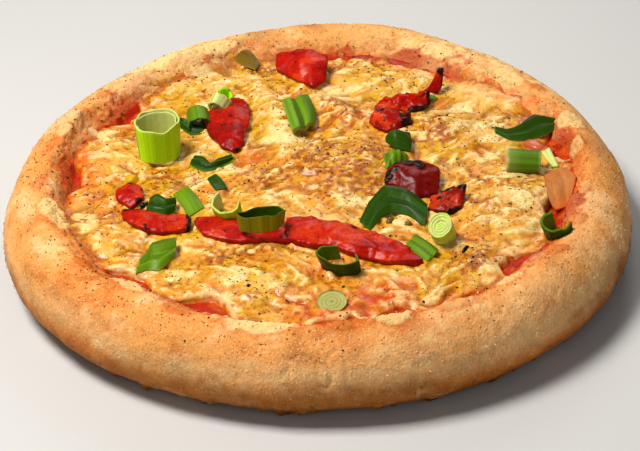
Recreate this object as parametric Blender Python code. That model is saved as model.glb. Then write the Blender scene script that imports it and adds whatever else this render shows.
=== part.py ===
"""A deep pan pizza, modelled as separate solids: dough, sauce, cheese, roasted pepper and spring onion.

Metres, +Z up. The origin is under the middle of the pizza, on the surface that it stands on.
The camera side of the pizza, its front, is -Y.
Angles round the pizza are in degrees, anticlockwise from +X as seen from above.
"""

import math

import bpy
import numpy as np
from mathutils import Vector
from mathutils.bvhtree import BVHTree

# Driving dimensions of the dough.
PIZZA_RADIUS = 0.1309
RIM_HEIGHT = 0.0340
WELL_RADIUS = 0.1035
WELL_SHIFT = 0.0020
FLOOR_HEIGHT = 0.0190
FOOT_INSET = 0.0180
CREST_INSET = 0.0180
BELLY_SHARE = 0.42

# Driving dimensions of what lies in the well.
SAUCE_THICKNESS = 0.0024
CHEESE_LEVEL = 0.0272
CHEESE_EDGE_INSET = 0.0040
CHEESE_EDGE_THICKNESS = 0.0016
LAYER_GAP = 0.0006
CLEARANCE = 0.00035

# How finely the solids are divided.
DIRECTIONS = 80
BELLY_STEPS = 4
SHOULDER_STEPS = 5
PROBE_SPACING = 0.0005

# Where the outline's own middle lies, so that the finished pizza is centred on the origin.
OUTLINE_OFFSET = (0.0013, -0.0025)

# The well, as seen from its own edge: how far inwards, and how high the dough and the sauce are there.
WELL_STEPS = (-0.0070, -0.0040, 0.0000, 0.0040)
WELL_HEIGHTS = (FLOOR_HEIGHT, 0.0215, 0.0262, 0.0292)
SAUCE_STEPS = (-0.0090, -0.0050, -0.0015, -0.0004)
SAUCE_HEIGHTS = (FLOOR_HEIGHT + SAUCE_THICKNESS + CLEARANCE, 0.0240, 0.0273, 0.0278)
SAUCE_UNDER_STEPS = (-0.0070, -0.0040, -0.0002)
SAUCE_UNDER_HEIGHTS = (FLOOR_HEIGHT + 0.0005, 0.0220, 0.0265)

# Pale blisters on the rim: direction, distance from the middle, length along the rim, width, height.
RIM_BLISTERS = (
    (139, 0.1050, 0.017, 0.010, 0.0022),
    (119, 0.1060, 0.022, 0.009, 0.0020),
    (160, 0.1090, 0.012, 0.008, 0.0018),
    (188, 0.1080, 0.014, 0.009, 0.0020),
    (232, 0.1090, 0.016, 0.008, 0.0022),
    (262, 0.1080, 0.018, 0.007, 0.0022),
    (342, 0.1080, 0.010, 0.008, 0.0026),
    (318, 0.1100, 0.016, 0.008, 0.0020),
    (62, 0.1060, 0.016, 0.007, 0.0016),
)

# Mounds in the cheese, over what it melted on: x, y, half length, half width, turn, height.
CHEESE_MOUNDS = (
    (0.058, 0.028, 0.019, 0.012, -10, 0.0045),
    (0.077, -0.031, 0.022, 0.019, 70, 0.0052),
    (0.012, 0.002, 0.026, 0.020, 15, 0.0042),
    (-0.018, 0.044, 0.032, 0.008, -74, 0.0042),
    (0.012, 0.050, 0.015, 0.006, -43, 0.0030),
    (0.032, 0.074, 0.024, 0.011, -8, 0.0022),
    (0.077, 0.058, 0.020, 0.009, -32, 0.0030),
    (-0.087, 0.016, 0.019, 0.011, 80, 0.0026),
    (-0.056, 0.072, 0.020, 0.011, 35, 0.0030),
    (-0.026, -0.078, 0.032, 0.015, 8, 0.0026),
    (0.030, -0.084, 0.022, 0.012, -12, 0.0018),
    (0.063, -0.074, 0.012, 0.010, 25, 0.0036),
    (-0.083, -0.046, 0.018, 0.012, -50, 0.0024),
    (-0.040, 0.022, 0.016, 0.009, 5, 0.0014),
)

# Colours as base colour and roughness.
FINISHES = {
    "baked_dough": ((0.80, 0.52, 0.27), 0.62),
    "tomato_sauce": ((0.66, 0.09, 0.03), 0.30),
    "melted_cheese": ((0.90, 0.70, 0.33), 0.38),
    "roasted_pepper": ((0.66, 0.05, 0.02), 0.25),
    "spring_onion": ((0.16, 0.42, 0.06), 0.35),
    "onion_stalk": ((0.62, 0.74, 0.38), 0.35),
    "cooked_onion": ((0.76, 0.55, 0.30), 0.30),
}


def clear_scene():
    """Removes everything that the startup scene holds."""
    for thing in list(bpy.data.objects):
        bpy.data.objects.remove(thing)


def finish(name):
    """The material of that name, made the first time it is asked for."""
    made = bpy.data.materials.get(name)
    if made:
        return made
    colour, roughness = FINISHES[name]
    made = bpy.data.materials.new(name)
    made.use_nodes = True
    shader = made.node_tree.nodes["Principled BSDF"]
    shader.inputs["Base Color"].default_value = (*colour, 1.0)
    shader.inputs["Roughness"].default_value = roughness
    return made


def add_object(name, points, faces, finish_name):
    """A smooth shaded mesh object made of these points and faces."""
    mesh = bpy.data.meshes.new(name)
    mesh.from_pydata([tuple(p) for p in points], [], faces)
    mesh.validate()
    mesh.shade_smooth()
    mesh.materials.append(finish(finish_name))
    thing = bpy.data.objects.new(name, mesh)
    bpy.context.scene.collection.objects.link(thing)
    return thing


def band(inner, outer, first_inner, first_outer):
    """Faces between two closed rings, whose point counts are equal or one to two."""
    faces = []
    if outer == inner:
        for i in range(inner):
            j = (i + 1) % inner
            faces.append((first_inner + i, first_inner + j, first_outer + j, first_outer + i))
        return faces
    if outer < inner:
        return [face[::-1] for face in band(outer, inner, first_outer, first_inner)]
    for i in range(inner):
        j = (i + 1) % inner
        near, middle, far = (first_outer + (2 * i + k) % outer for k in range(3))
        faces.append((first_inner + i, middle, near))
        faces.append((first_inner + i, first_inner + j, middle))
        faces.append((first_inner + j, far, middle))
    return faces


def skin(rings, start, end):
    """A closed surface over a stack of rings, closed to a point at both ends."""
    points = [start]
    firsts = []
    for ring in rings:
        firsts.append(len(points))
        points.extend(ring)
    points.append(end)
    count = len(rings[0])
    faces = [(0, firsts[0] + (i + 1) % count, firsts[0] + i) for i in range(count)]
    for ring, following, first, next_first in zip(rings, rings[1:], firsts, firsts[1:]):
        faces.extend(band(len(ring), len(following), first, next_first))
    last, count = len(points) - 1, len(rings[-1])
    faces.extend((last, firsts[-1] + i, firsts[-1] + (i + 1) % count) for i in range(count))
    return points, faces


def angles(count=DIRECTIONS):
    return np.arange(count) * 2 * math.pi / count


def ring_at(angle, radius, height):
    """The points of one closed ring, at these radii and heights round the outline's middle."""
    return np.column_stack(
        (
            OUTLINE_OFFSET[0] + radius * np.cos(angle),
            OUTLINE_OFFSET[1] + radius * np.sin(angle),
            np.broadcast_to(height, angle.shape),
        )
    )


def outline_radius(angle):
    """The dough's widest radius: a circle, a little oval and a little three sided."""
    return (
        PIZZA_RADIUS
        - 0.0016 * np.cos(2 * angle)
        + 0.0004 * np.sin(2 * angle)
        - 0.0006 * np.cos(3 * angle)
        - 0.0022 * np.sin(3 * angle)
    )


def rim_height(angle):
    """The rim's crest, with slow swells along it."""
    return (
        RIM_HEIGHT
        + 0.0005 * np.sin(5 * angle + 0.8)
        + 0.0004 * np.sin(9 * angle + 2.1)
    )


def well_radius(angle):
    """Where the rim's inner slope meets the topping."""
    return (
        WELL_RADIUS
        - WELL_SHIFT * np.sin(angle)
        + 0.0012 * np.sin(4 * angle + 1.1)
        + 0.0009 * np.sin(7 * angle + 0.3)
        + 0.0006 * np.sin(13 * angle + 2.0)
    )


def cheese_radius(angle):
    """The cheese's ragged edge, which leaves some sauce bare inside the rim."""
    lobes = (
        0.0012 * np.sin(3 * angle + 2.2)
        + 0.0011 * np.sin(8 * angle + 0.4)
        + 0.0009 * np.sin(13 * angle + 1.7)
    )
    return well_radius(angle) - CHEESE_EDGE_INSET + np.minimum(lobes, 0.0022)


def bump(x, y, middle_x, middle_y, half_length, half_width, turn, height):
    """A smooth oval mound, level with its surroundings at about twice its half sizes."""
    along = (math.cos(math.radians(turn)), math.sin(math.radians(turn)))
    dx, dy = x - middle_x, y - middle_y
    u = (dx * along[0] + dy * along[1]) / half_length
    v = (dy * along[0] - dx * along[1]) / half_width
    return height * np.exp(-((u * u + v * v) ** 1.3))


def blisters(x, y):
    """How much the pale blisters raise the rim at a place."""
    raised = 0.0 * x
    for direction, distance, length, width, height in RIM_BLISTERS:
        angle = math.radians(direction)
        middle_x, middle_y = distance * math.cos(angle), distance * math.sin(angle)
        raised = raised + bump(x, y, middle_x, middle_y, length / 2, width / 2, direction + 90, height)
    return raised


def cheese_level(x, y):
    """The cheese's upper surface: mounds, and folds a centimetre or two long."""
    level = CHEESE_LEVEL + 0.0 * x
    for mound in CHEESE_MOUNDS:
        level = level + bump(x, y, *mound)
    folds = (
        np.sin(420 * x + 160 * y + 0.5) * np.sin(350 * y - 90 * x + 1.2)
        + 0.7 * np.sin(610 * y + 240 * x + 2.6)
        + 0.5 * np.sin(760 * x - 330 * y + 0.9)
    )
    return level + 0.00045 * folds


def crust_roughness(angle, around):
    """Slow lumps in the dough's side, as a distance outwards."""
    return 0.0006 * (
        np.sin(11 * angle + 3.0 * around)
        + 0.8 * np.sin(17 * angle - 5.0 * around + 1.3)
        + 0.5 * np.sin(29 * angle + 7.0 * around + 0.4)
    )


def make_crust():
    """The dough in one piece: flat foot, undercut belly, round rim and a well for the topping."""
    angle = angles()
    outer, height, well = outline_radius(angle), rim_height(angle), well_radius(angle)
    belly = BELLY_SHARE * height
    rings = [ring_at(angle, outer - FOOT_INSET, 0.0)]
    for step in range(1, BELLY_STEPS + 1):
        turn = math.pi / 2 * step / BELLY_STEPS
        lump = crust_roughness(angle, turn) * math.sin(turn)
        radius = outer - FOOT_INSET * (1 - math.sin(turn)) + lump
        rings.append(ring_at(angle, radius, belly * (1 - math.cos(turn))))
    for step in range(1, SHOULDER_STEPS + 1):
        turn = math.pi / 2 * step / SHOULDER_STEPS
        lump = crust_roughness(angle, turn + math.pi / 2) * math.cos(turn)
        radius = outer - CREST_INSET * (1 - math.cos(turn)) + lump
        rings.append(ring_at(angle, radius, belly + (height - belly) * math.sin(turn)))
    for inwards, level in zip(reversed(WELL_STEPS), reversed(WELL_HEIGHTS)):
        rings.append(ring_at(angle, well + inwards, level))
    for ring in rings[-len(WELL_STEPS) - 2 : -3]:
        ring[:, 2] += blisters(ring[:, 0], ring[:, 1])
    middle = (*OUTLINE_OFFSET, 0.0)
    floor = (*OUTLINE_OFFSET, FLOOR_HEIGHT)
    return add_object("crust", *skin(rings, middle, floor), "baked_dough")


def make_sauce():
    """The tomato sauce: a thin layer over the whole floor, drawn up the rim's inner slope."""
    angle = angles()
    well = well_radius(angle)
    under = [ring_at(angle, well + s, h) for s, h in zip(SAUCE_UNDER_STEPS, SAUCE_UNDER_HEIGHTS)]
    upper = [ring_at(angle, well + s, h) for s, h in zip(SAUCE_STEPS, SAUCE_HEIGHTS)]
    bottom = (*OUTLINE_OFFSET, SAUCE_UNDER_HEIGHTS[0])
    top = (*OUTLINE_OFFSET, SAUCE_HEIGHTS[0])
    return add_object("sauce", *skin(under + upper[::-1], bottom, top), "tomato_sauce")


def make_cheese():
    """The melted cheese in one blanket, thin at its ragged edge."""
    angle = angles()
    edge, well = cheese_radius(angle), well_radius(angle)
    inner = well + SAUCE_STEPS[0]
    under = [
        ring_at(angle, inner, SAUCE_HEIGHTS[0] + LAYER_GAP),
        ring_at(angle, (inner + edge) / 2, 0.0),
        ring_at(angle, edge, 0.0),
    ]
    for ring, radius in zip(under[1:], ((inner + edge) / 2, edge)):
        ring[:, 2] = np.interp(radius - well, SAUCE_STEPS, SAUCE_HEIGHTS) + LAYER_GAP
    upper = []
    for share in np.arange(25, 0, -1) / 25.5:
        count = DIRECTIONS if share > 0.52 else DIRECTIONS // 2 if share > 0.26 else DIRECTIONS // 4
        here = angles(count)
        ring = ring_at(here, cheese_radius(here) * share, 0.0)
        ring[:, 2] = cheese_level(ring[:, 0], ring[:, 1])
        upper.append(ring)
    brim = ring_at(angle, edge, under[-1][:, 2] + CHEESE_EDGE_THICKNESS)
    bottom = (*OUTLINE_OFFSET, SAUCE_HEIGHTS[0] + LAYER_GAP)
    top = (*OUTLINE_OFFSET, float(cheese_level(*OUTLINE_OFFSET)))
    return add_object("cheese", *skin(under + [brim] + upper, bottom, top), "melted_cheese")


def world_mesh(things):
    """The evaluated points and triangles of these objects together, in world space."""
    bpy.context.view_layer.update()
    graph = bpy.context.evaluated_depsgraph_get()
    points, faces = [], []
    for thing in things:
        shown = thing.evaluated_get(graph)
        mesh = shown.to_mesh()
        first = len(points)
        points.extend(shown.matrix_world @ v.co for v in mesh.vertices)
        mesh.calc_loop_triangles()
        faces.extend([first + i for i in t.vertices] for t in mesh.loop_triangles)
        shown.to_mesh_clear()
    return points, faces


def settle(piece, carriers):
    """Moves a piece straight up or down until it just clears what carries it.

    Probes on a fine grid, and at the piece's own corners, compare its underside with the ground.
    """
    points, faces = world_mesh([piece])
    piece_tree = BVHTree.FromPolygons(points, faces)
    ground_points, ground_faces = world_mesh(carriers)
    ground_tree = BVHTree.FromPolygons(ground_points, ground_faces)
    corners = np.array([p[:] for p in points])
    low, high = corners.min(axis=0), corners.max(axis=0)
    near = [p for p in ground_points if low[0] < p.x < high[0] and low[1] < p.y < high[1]]
    probes = [(p[0], p[1]) for p in points + near]
    probes += [
        (x, y)
        for x in np.arange(low[0], high[0], PROBE_SPACING)
        for y in np.arange(low[1], high[1], PROBE_SPACING)
    ]
    room = math.inf
    for x, y in probes:
        underside = piece_tree.ray_cast(Vector((x, y, -1.0)), Vector((0, 0, 1)))[0]
        ground = ground_tree.ray_cast(Vector((x, y, 1.0)), Vector((0, 0, -1)))[0]
        if underside and ground:
            room = min(room, underside.z - ground.z)
    piece.location.z += CLEARANCE - room
    while BVHTree.FromPolygons(*world_mesh([piece])).overlap(ground_tree):
        piece.location.z += CLEARANCE / 2


def smooth_route(stops, count):
    """A smooth curve through a few stops, as that many points (Catmull and Rom's rule)."""
    stops = np.array(stops, float)
    padded = np.vstack((2 * stops[0] - stops[1], stops, 2 * stops[-1] - stops[-2]))
    route = []
    for t in np.linspace(0, len(stops) - 1, count):
        i = min(int(t), len(stops) - 2)
        s = t - i
        a, b, c, d = padded[i : i + 4]
        route.append(
            0.5
            * (2 * b + (c - a) * s + (2 * a - 5 * b + 4 * c - d) * s**2 + (3 * b - a - 3 * c + d) * s**3)
        )
    return np.array(route)


def grid_piece(name, points, thickness, finish_name, wrapped=False):
    """A sheet over a grid of points, given its thickness by Solidify."""
    rows, columns = points.shape[:2]
    last = columns if wrapped else columns - 1
    faces = []
    for r in range(rows - 1):
        near, far = r * columns, (r + 1) * columns
        for c in range(last):
            following = (c + 1) % columns
            faces.append((near + c, near + following, far + following, far + c))
    piece = add_object(name, points.reshape(-1, 3), faces, finish_name)
    wall = piece.modifiers.new("thickness", "SOLIDIFY")
    wall.thickness = thickness
    wall.offset = 0.0
    return piece


def strip(name, route, width, thickness, crown, finish_name, rows=9, taper=0.5):
    """A strip that follows the cheese along a route of (x, y, lift), narrower at its ends."""
    middle = smooth_route(route, rows)
    ahead = np.gradient(middle[:, :2], axis=0)
    ahead /= np.linalg.norm(ahead, axis=1)[:, None]
    side = np.column_stack((-ahead[:, 1], ahead[:, 0]))
    share = np.linspace(0, 1, rows)
    half = width / 2 * (1 - taper * np.abs(2 * share - 1) ** 3)
    points = np.zeros((rows, 4, 3))
    for column, across in enumerate(np.linspace(-1, 1, 4)):
        points[:, column, :2] = middle[:, :2] + side * (half * across)[:, None]
        ground = cheese_level(points[:, column, 0], points[:, column, 1])
        points[:, column, 2] = ground + middle[:, 2] + crown * (1 - across**2)
    return grid_piece(name, points, thickness, finish_name)


def patch(name, corners, thickness, bulge, finish_name, fold=0.0, cells=4):
    """A four cornered piece, each corner at (x, y, lift), bulged or folded along its length."""
    a, b, c, d = (np.array(corner, float) for corner in corners)
    points = np.zeros((cells + 1, cells + 1, 3))
    for i, u in enumerate(np.linspace(0, 1, cells + 1)):
        for j, v in enumerate(np.linspace(0, 1, cells + 1)):
            flat = a * (1 - u) * (1 - v) + b * (1 - u) * v + c * u * v + d * u * (1 - v)
            dome = bulge * math.sin(math.pi * u) ** 0.7 * math.sin(math.pi * v) ** 0.7
            crease = fold * abs(2 * v - 1)
            ground = float(cheese_level(flat[0], flat[1]))
            points[i, j] = flat + np.array((0, 0, ground + dome + crease))
    return grid_piece(name, points, thickness, finish_name)


def tube(name, at, across, length, turn, lean=0.0, squash=1.0, split=0.0, wall=0.0013):
    """A cut length of spring onion: its axis at a turn, leaning up from level, split open if asked."""
    sides = 12
    turn, lean = math.radians(turn), math.radians(lean)
    axis = np.array((math.cos(turn) * math.cos(lean), math.sin(turn) * math.cos(lean), math.sin(lean)))
    side = np.array((-math.sin(turn), math.cos(turn), 0.0))
    top = np.cross(axis, side)
    whole = split == 0.0
    sweep = 2 * math.pi if whole else math.radians(360 - split)
    around = (np.arange(sides) if whole else np.arange(sides) * sides / (sides - 1)) * sweep / sides
    around = around + (2 * math.pi - sweep) / 2 + math.pi / 2
    rows = 3
    points = np.zeros((rows, sides, 3))
    for row, along in enumerate(np.linspace(-0.5, 0.5, rows)):
        flare = 1 + 0.10 * along
        middle = np.array((at[0], at[1], float(cheese_level(*at)))) + axis * (length * along)
        radius = across / 2 * flare - wall / 2
        points[row] = (
            middle
            + np.outer(radius * np.cos(around), side)
            + np.outer(radius * squash * np.sin(around), top)
        )
    return grid_piece(name, points, wall, "spring_onion", wrapped=whole)


def slice_of_stalk(name, at, across, length, turn, lean):
    """A short solid slice of the pale end of the stalk."""
    piece = tube(name, at, across, length, turn, lean, wall=0.0016)
    mesh = piece.data
    sides = len(mesh.vertices) // 3
    piece.modifiers.remove(piece.modifiers["thickness"])
    lower = tuple(range(sides))
    upper = tuple(range(2 * sides, 3 * sides))
    faces = [tuple(p.vertices) for p in mesh.polygons]
    points = [v.co.copy() for v in mesh.vertices]
    mesh.clear_geometry()
    mesh.from_pydata(points, [], faces + [lower[::-1], upper])
    mesh.shade_smooth()
    mesh.set_sharp_from_angle(angle=math.radians(50))
    mesh.materials[0] = finish("onion_stalk")
    return piece


def make_peppers():
    """Roasted red pepper: cut pieces, shrivelled pieces and one long strip that has torn in three."""
    red = "roasted_pepper"
    yield patch(
        "pepper_back",
        (
            (-0.0165, 0.0895, 0.0070), (0.0080, 0.0875, 0.0070),
            (0.0020, 0.0645, 0.0), (-0.0160, 0.0825, 0.0015),
        ),
        0.0032, 0.0016, red,
    )
    yield patch(
        "pepper_left",
        ((-0.0305, 0.0540, 0.0030), (-0.0465, 0.0340, 0.0), (-0.0330, 0.0085, 0.0), (-0.0265, 0.0370, 0.0)),
        0.0030, 0.0034, red,
    )
    yield patch(
        "pepper_shrivelled",
        ((0.0245, 0.0350, 0.0), (0.0285, 0.0270, 0.0), (0.0460, 0.0310, 0.0), (0.0430, 0.0400, 0.0010)),
        0.0028, 0.0018, red,
    )
    yield strip(
        "pepper_curl",
        ((0.0290, 0.0450, 0.0), (0.0350, 0.0500, 0.0016), (0.0430, 0.0510, 0.0020), (0.0505, 0.0540, 0.0)),
        0.0095, 0.0026, 0.0018, red,
    )
    yield strip(
        "pepper_tail",
        ((0.0535, 0.0530, 0.0), (0.0550, 0.0560, 0.0030), (0.0560, 0.0585, 0.0070), (0.0575, 0.0615, 0.0095)),
        0.0060, 0.0022, 0.0006, red, rows=7, taper=0.7,
    )
    yield patch(
        "pepper_centre",
        ((0.0290, -0.0175, 0.0), (0.0350, -0.0075, 0.0020), (0.0515, -0.0120, 0.0), (0.0480, -0.0255, 0.0)),
        0.0032, 0.0040, red,
    )
    yield patch(
        "pepper_charred",
        (
            (0.0460, -0.0320, 0.0), (0.0520, -0.0250, 0.0015),
            (0.0620, -0.0235, 0.0020), (0.0580, -0.0400, 0.0),
        ),
        0.0028, 0.0018, red,
    )
    yield patch(
        "pepper_corner",
        (
            (-0.0825, -0.0165, 0.0), (-0.0765, -0.0125, 0.0010),
            (-0.0680, -0.0190, 0.0), (-0.0730, -0.0260, 0.0),
        ),
        0.0028, 0.0016, red,
    )
    yield strip(
        "pepper_strip_left",
        ((-0.0755, -0.0320, 0.0), (-0.0675, -0.0375, 0.0), (-0.0585, -0.0392, 0.0), (-0.0500, -0.0388, 0.0)),
        0.0110, 0.0030, 0.0014, red,
    )
    yield strip(
        "pepper_strip_middle",
        ((-0.0460, -0.0425, 0.0), (-0.0380, -0.0445, 0.0), (-0.0255, -0.0460, 0.0), (-0.0125, -0.0465, 0.0)),
        0.0135, 0.0030, 0.0014, red,
    )
    yield strip(
        "pepper_strip_right",
        ((-0.0105, -0.0470, 0.0), (0.0035, -0.0500, 0.0), (0.0190, -0.0570, 0.0), (0.0395, -0.0700, 0.0)),
        0.0175, 0.0034, 0.0018, red, rows=13, taper=0.65,
    )


def make_onions():
    """Spring onion: cut lengths of the hollow green leaf, flat bits of leaf and pale slices of stalk."""
    green = "spring_onion"
    yield tube("onion_tube_large", (-0.0655, 0.0165), 0.0185, 0.0160, 100, lean=82)
    yield strip(
        "onion_leaf_behind",
        ((-0.0610, 0.0400, 0.0010), (-0.0535, 0.0345, 0.0006), (-0.0480, 0.0290, 0.0)),
        0.0080, 0.0012, 0.0012, green, rows=7, taper=0.3,
    )
    yield tube("onion_tube_lime", (-0.0500, 0.0400), 0.0100, 0.0095, -80, lean=-12, squash=0.75)
    yield tube("onion_tube_white", (-0.0410, 0.0505), 0.0095, 0.0060, 60, lean=30)
    yield tube("onion_ring_small", (-0.0392, 0.0605), 0.0074, 0.0045, 70, lean=60)
    yield strip(
        "onion_leaf_olive",
        ((-0.0340, 0.1010, 0.0), (-0.0300, 0.0960, 0.0006), (-0.0265, 0.0890, 0.0)),
        0.0085, 0.0016, 0.0012, green, rows=7, taper=0.4,
    )
    yield strip(
        "onion_leaf_left",
        ((-0.0520, 0.0010, 0.0), (-0.0440, 0.0015, 0.0), (-0.0330, 0.0045, 0.0010)),
        0.0085, 0.0012, -0.0014, green, rows=7, taper=0.35,
    )
    yield patch(
        "onion_leaf_small",
        ((-0.0435, -0.0050, 0.0), (-0.0390, -0.0050, 0.0), (-0.0360, -0.0145, 0.0), (-0.0405, -0.0165, 0.0)),
        0.0013, 0.0008, green, cells=3,
    )
    yield tube("onion_tube_back", (-0.0068, 0.0355), 0.0112, 0.0255, -82, lean=-8, squash=0.62)
    yield patch(
        "onion_leaf_bright",
        (
            (-0.0570, -0.0175, 0.0), (-0.0500, -0.0130, 0.0006),
            (-0.0455, -0.0255, 0.0006), (-0.0505, -0.0330, 0.0),
        ),
        0.0018, 0.0018, green, cells=3,
    )
    yield tube("onion_tube_dark", (-0.0616, -0.0300), 0.0086, 0.0115, 10, lean=0, squash=0.62)
    yield tube("onion_ring_pale", (-0.0355, -0.0350), 0.0120, 0.0075, 80, lean=66, split=70)
    yield tube("onion_ring_wide", (-0.0213, -0.0480), 0.0185, 0.0070, 95, lean=84, squash=0.60)
    yield strip(
        "onion_leaf_front",
        ((-0.0665, -0.0690, 0.0), (-0.0615, -0.0635, 0.0004), (-0.0560, -0.0545, 0.0006)),
        0.0075, 0.0013, 0.0014, green, rows=7, taper=0.3,
    )
    yield tube("onion_ring_dark", (0.0082, -0.0735), 0.0168, 0.0070, 90, lean=76, squash=0.62, split=40)
    yield slice_of_stalk("onion_slice_sunk", (0.0055, -0.0930), 0.0125, 0.0036, 90, 82)
    yield patch(
        "onion_leaf_right",
        ((0.0340, -0.0680, 0.0), (0.0370, -0.0615, 0.0), (0.0470, -0.0710, 0.0), (0.0425, -0.0780, 0.0)),
        0.0018, 0.0012, green, cells=3,
    )
    yield slice_of_stalk("onion_slice_pale", (0.0490, -0.0535), 0.0118, 0.0085, -80, 38)
    yield strip(
        "onion_leaf_arched",
        ((0.0190, -0.0435, 0.0), (0.0235, -0.0350, 0.0010), (0.0295, -0.0290, 0.0030),
         (0.0355, -0.0300, 0.0028), (0.0425, -0.0410, 0.0)),
        0.0075, 0.0012, 0.0012, green, rows=11, taper=0.3,
    )
    yield tube("onion_tube_dark_back", (0.0362, 0.0130), 0.0105, 0.0090, -65, lean=10, squash=0.75)
    yield tube("onion_tube_striped", (0.0340, -0.0020), 0.0092, 0.0090, -85, lean=0, squash=0.6)
    yield strip(
        "onion_leaf_curved",
        ((0.0760, 0.0230, 0.0010), (0.0870, 0.0205, 0.0), (0.0960, 0.0240, 0.0010), (0.1055, 0.0295, 0.0040)),
        0.0075, 0.0012, -0.0008, green, rows=9, taper=0.75,
    )
    yield tube("onion_tube_right", (0.0868, -0.0045), 0.0118, 0.0140, 172, lean=0, squash=0.8)
    yield patch(
        "onion_sliver",
        ((0.0960, 0.0085, 0.0), (0.0990, 0.0090, 0.0), (0.1010, -0.0020, 0.0), (0.0970, -0.0030, 0.0)),
        0.0016, 0.0006, green, cells=3,
    )
    yield tube("onion_ring_open", (0.0942, -0.0545), 0.0122, 0.0085, 222, lean=66, squash=0.85, split=100)


def make_cooked_onion():
    """A soft, see-through piece of onion against the rim."""
    yield patch(
        "cooked_onion",
        ((0.0940, -0.0150, 0.0), (0.1045, -0.0160, 0.0010), (0.1020, -0.0410, 0.0), (0.0945, -0.0430, 0.0)),
        0.0016, 0.0016, "cooked_onion", fold=-0.0010,
    )


def main():
    clear_scene()
    placed = [make_crust(), make_sauce(), make_cheese()]
    for pieces in (make_peppers(), make_cooked_onion(), make_onions()):
        for piece in pieces:
            settle(piece, placed)
            placed.append(piece)


main()
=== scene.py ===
"""The looks of a deep pan pizza: baked dough, tomato sauce, melted cheese, roasted pepper and spring onion.

Metres, +Z up, and -Y is the front. Angles round the pizza are anticlockwise from +X, seen from above.
Every surface is worked out with numpy, and colours that follow the surface are kept in its "tint".
"""

import itertools
import math

import bpy
import numpy as np
from bpy.props import FloatProperty, FloatVectorProperty, IntProperty, PointerProperty
from mathutils import Matrix, Vector


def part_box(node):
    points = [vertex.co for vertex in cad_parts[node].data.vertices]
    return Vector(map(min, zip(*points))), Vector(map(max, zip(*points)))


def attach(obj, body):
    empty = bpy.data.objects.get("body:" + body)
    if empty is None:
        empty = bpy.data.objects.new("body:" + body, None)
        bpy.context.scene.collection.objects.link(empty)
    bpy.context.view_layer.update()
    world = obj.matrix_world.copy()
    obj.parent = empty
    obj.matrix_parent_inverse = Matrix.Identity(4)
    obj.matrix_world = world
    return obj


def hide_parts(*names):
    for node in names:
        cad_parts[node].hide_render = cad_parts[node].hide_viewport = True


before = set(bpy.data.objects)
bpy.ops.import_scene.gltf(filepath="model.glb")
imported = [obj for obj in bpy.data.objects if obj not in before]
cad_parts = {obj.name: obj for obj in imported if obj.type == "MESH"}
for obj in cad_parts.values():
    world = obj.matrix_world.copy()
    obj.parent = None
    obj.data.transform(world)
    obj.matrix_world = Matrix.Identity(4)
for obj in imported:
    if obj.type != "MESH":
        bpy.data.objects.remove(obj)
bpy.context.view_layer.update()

bl_info = {
    "name": "Deep Pan Pizza",
    "version": (1, 0, 0),
    "blender": (4, 5, 0),
    "location": "View3D > Sidebar > Pizza",
    "description": "Models and finishes the surfaces of a baked deep pan pizza",
    "category": "Object",
}

MM = 0.001

# Each layer of noise is turned by this much about Z, and in space then also about X.
LAYER_ANGLE = math.radians(37)
LAYER_TURN = np.array(
    (
        (math.cos(LAYER_ANGLE), math.sin(LAYER_ANGLE), 0.0),
        (-math.sin(LAYER_ANGLE), math.cos(LAYER_ANGLE), 0.0),
        (0.0, 0.0, 1.0),
    )
)
LAYER_TIP = np.array(
    (
        (1.0, 0.0, 0.0),
        (0.0, math.cos(LAYER_ANGLE), math.sin(LAYER_ANGLE)),
        (0.0, -math.sin(LAYER_ANGLE), math.cos(LAYER_ANGLE)),
    )
)

# The dough's outline and heights, as its solid has them.
CENTRE = np.array((1.3, -2.5)) * MM
PIZZA_RADIUS = 130.9 * MM
RIM_HEIGHT = 34.0 * MM
FOOT_INSET = 18.0 * MM
CREST_INSET = 18.0 * MM
BELLY_SHARE = 0.42
WELL_RADIUS = 103.5 * MM
WELL_SHIFT = 2.0 * MM
WELL_STEPS = np.array((-7.0, -4.0, 0.0, 4.0, 7.0)) * MM
WELL_HEIGHTS = np.array((19.0, 21.5, 26.2, 29.8, 32.2)) * MM
CHEESE_LEVEL = 27.2 * MM
SAUCE_LEVEL = 24.6 * MM
SAUCE_INNER = 70.0 * MM
CHEESE_UNDERSIDE = 22.0 * MM

# How far light spreads inside soft food, and how much of red, green and blue.
SOFT_REACH = 2.0 * MM
SOFT_SPREAD = (1.0, 0.55, 0.25)

# Random draws, and the crust's rows and the number of tries for what is strewn on it.
GRAIN_SEED = 11
SHRED_SEED = 29
SPECK_SEED = 41
GRAIN_ROWS = (20, 86)
SPECK_ROWS = (48, 100)
RIM_SPECKS = 2600

# How finely the large surfaces are divided.
CRUST_DIRECTIONS = 860
SAUCE_DIRECTIONS = 480
SAUCE_ROWS = 60
ROUTE_POINTS = 300
CHEESE_CELLS = 308
FIELD_REACH = 116.0 * MM
FIELD_CELL = 0.4 * MM

# Half the floor's width.
FLOOR_REACH = 3.0

# Pale blisters on the rim, in degrees and mm: direction, distance, length along the rim, width, height.
RIM_BLISTERS = (
    (139, 105, 17, 10, 2.2),
    (119, 106, 22, 9, 2.0),
    (160, 109, 12, 8, 1.8),
    (188, 108, 14, 9, 2.0),
    (232, 109, 16, 8, 2.2),
    (262, 108, 18, 7, 2.2),
    (342, 108, 10, 8, 2.6),
    (318, 110, 16, 8, 2.0),
    (62, 106, 16, 7, 1.6),
)

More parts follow.
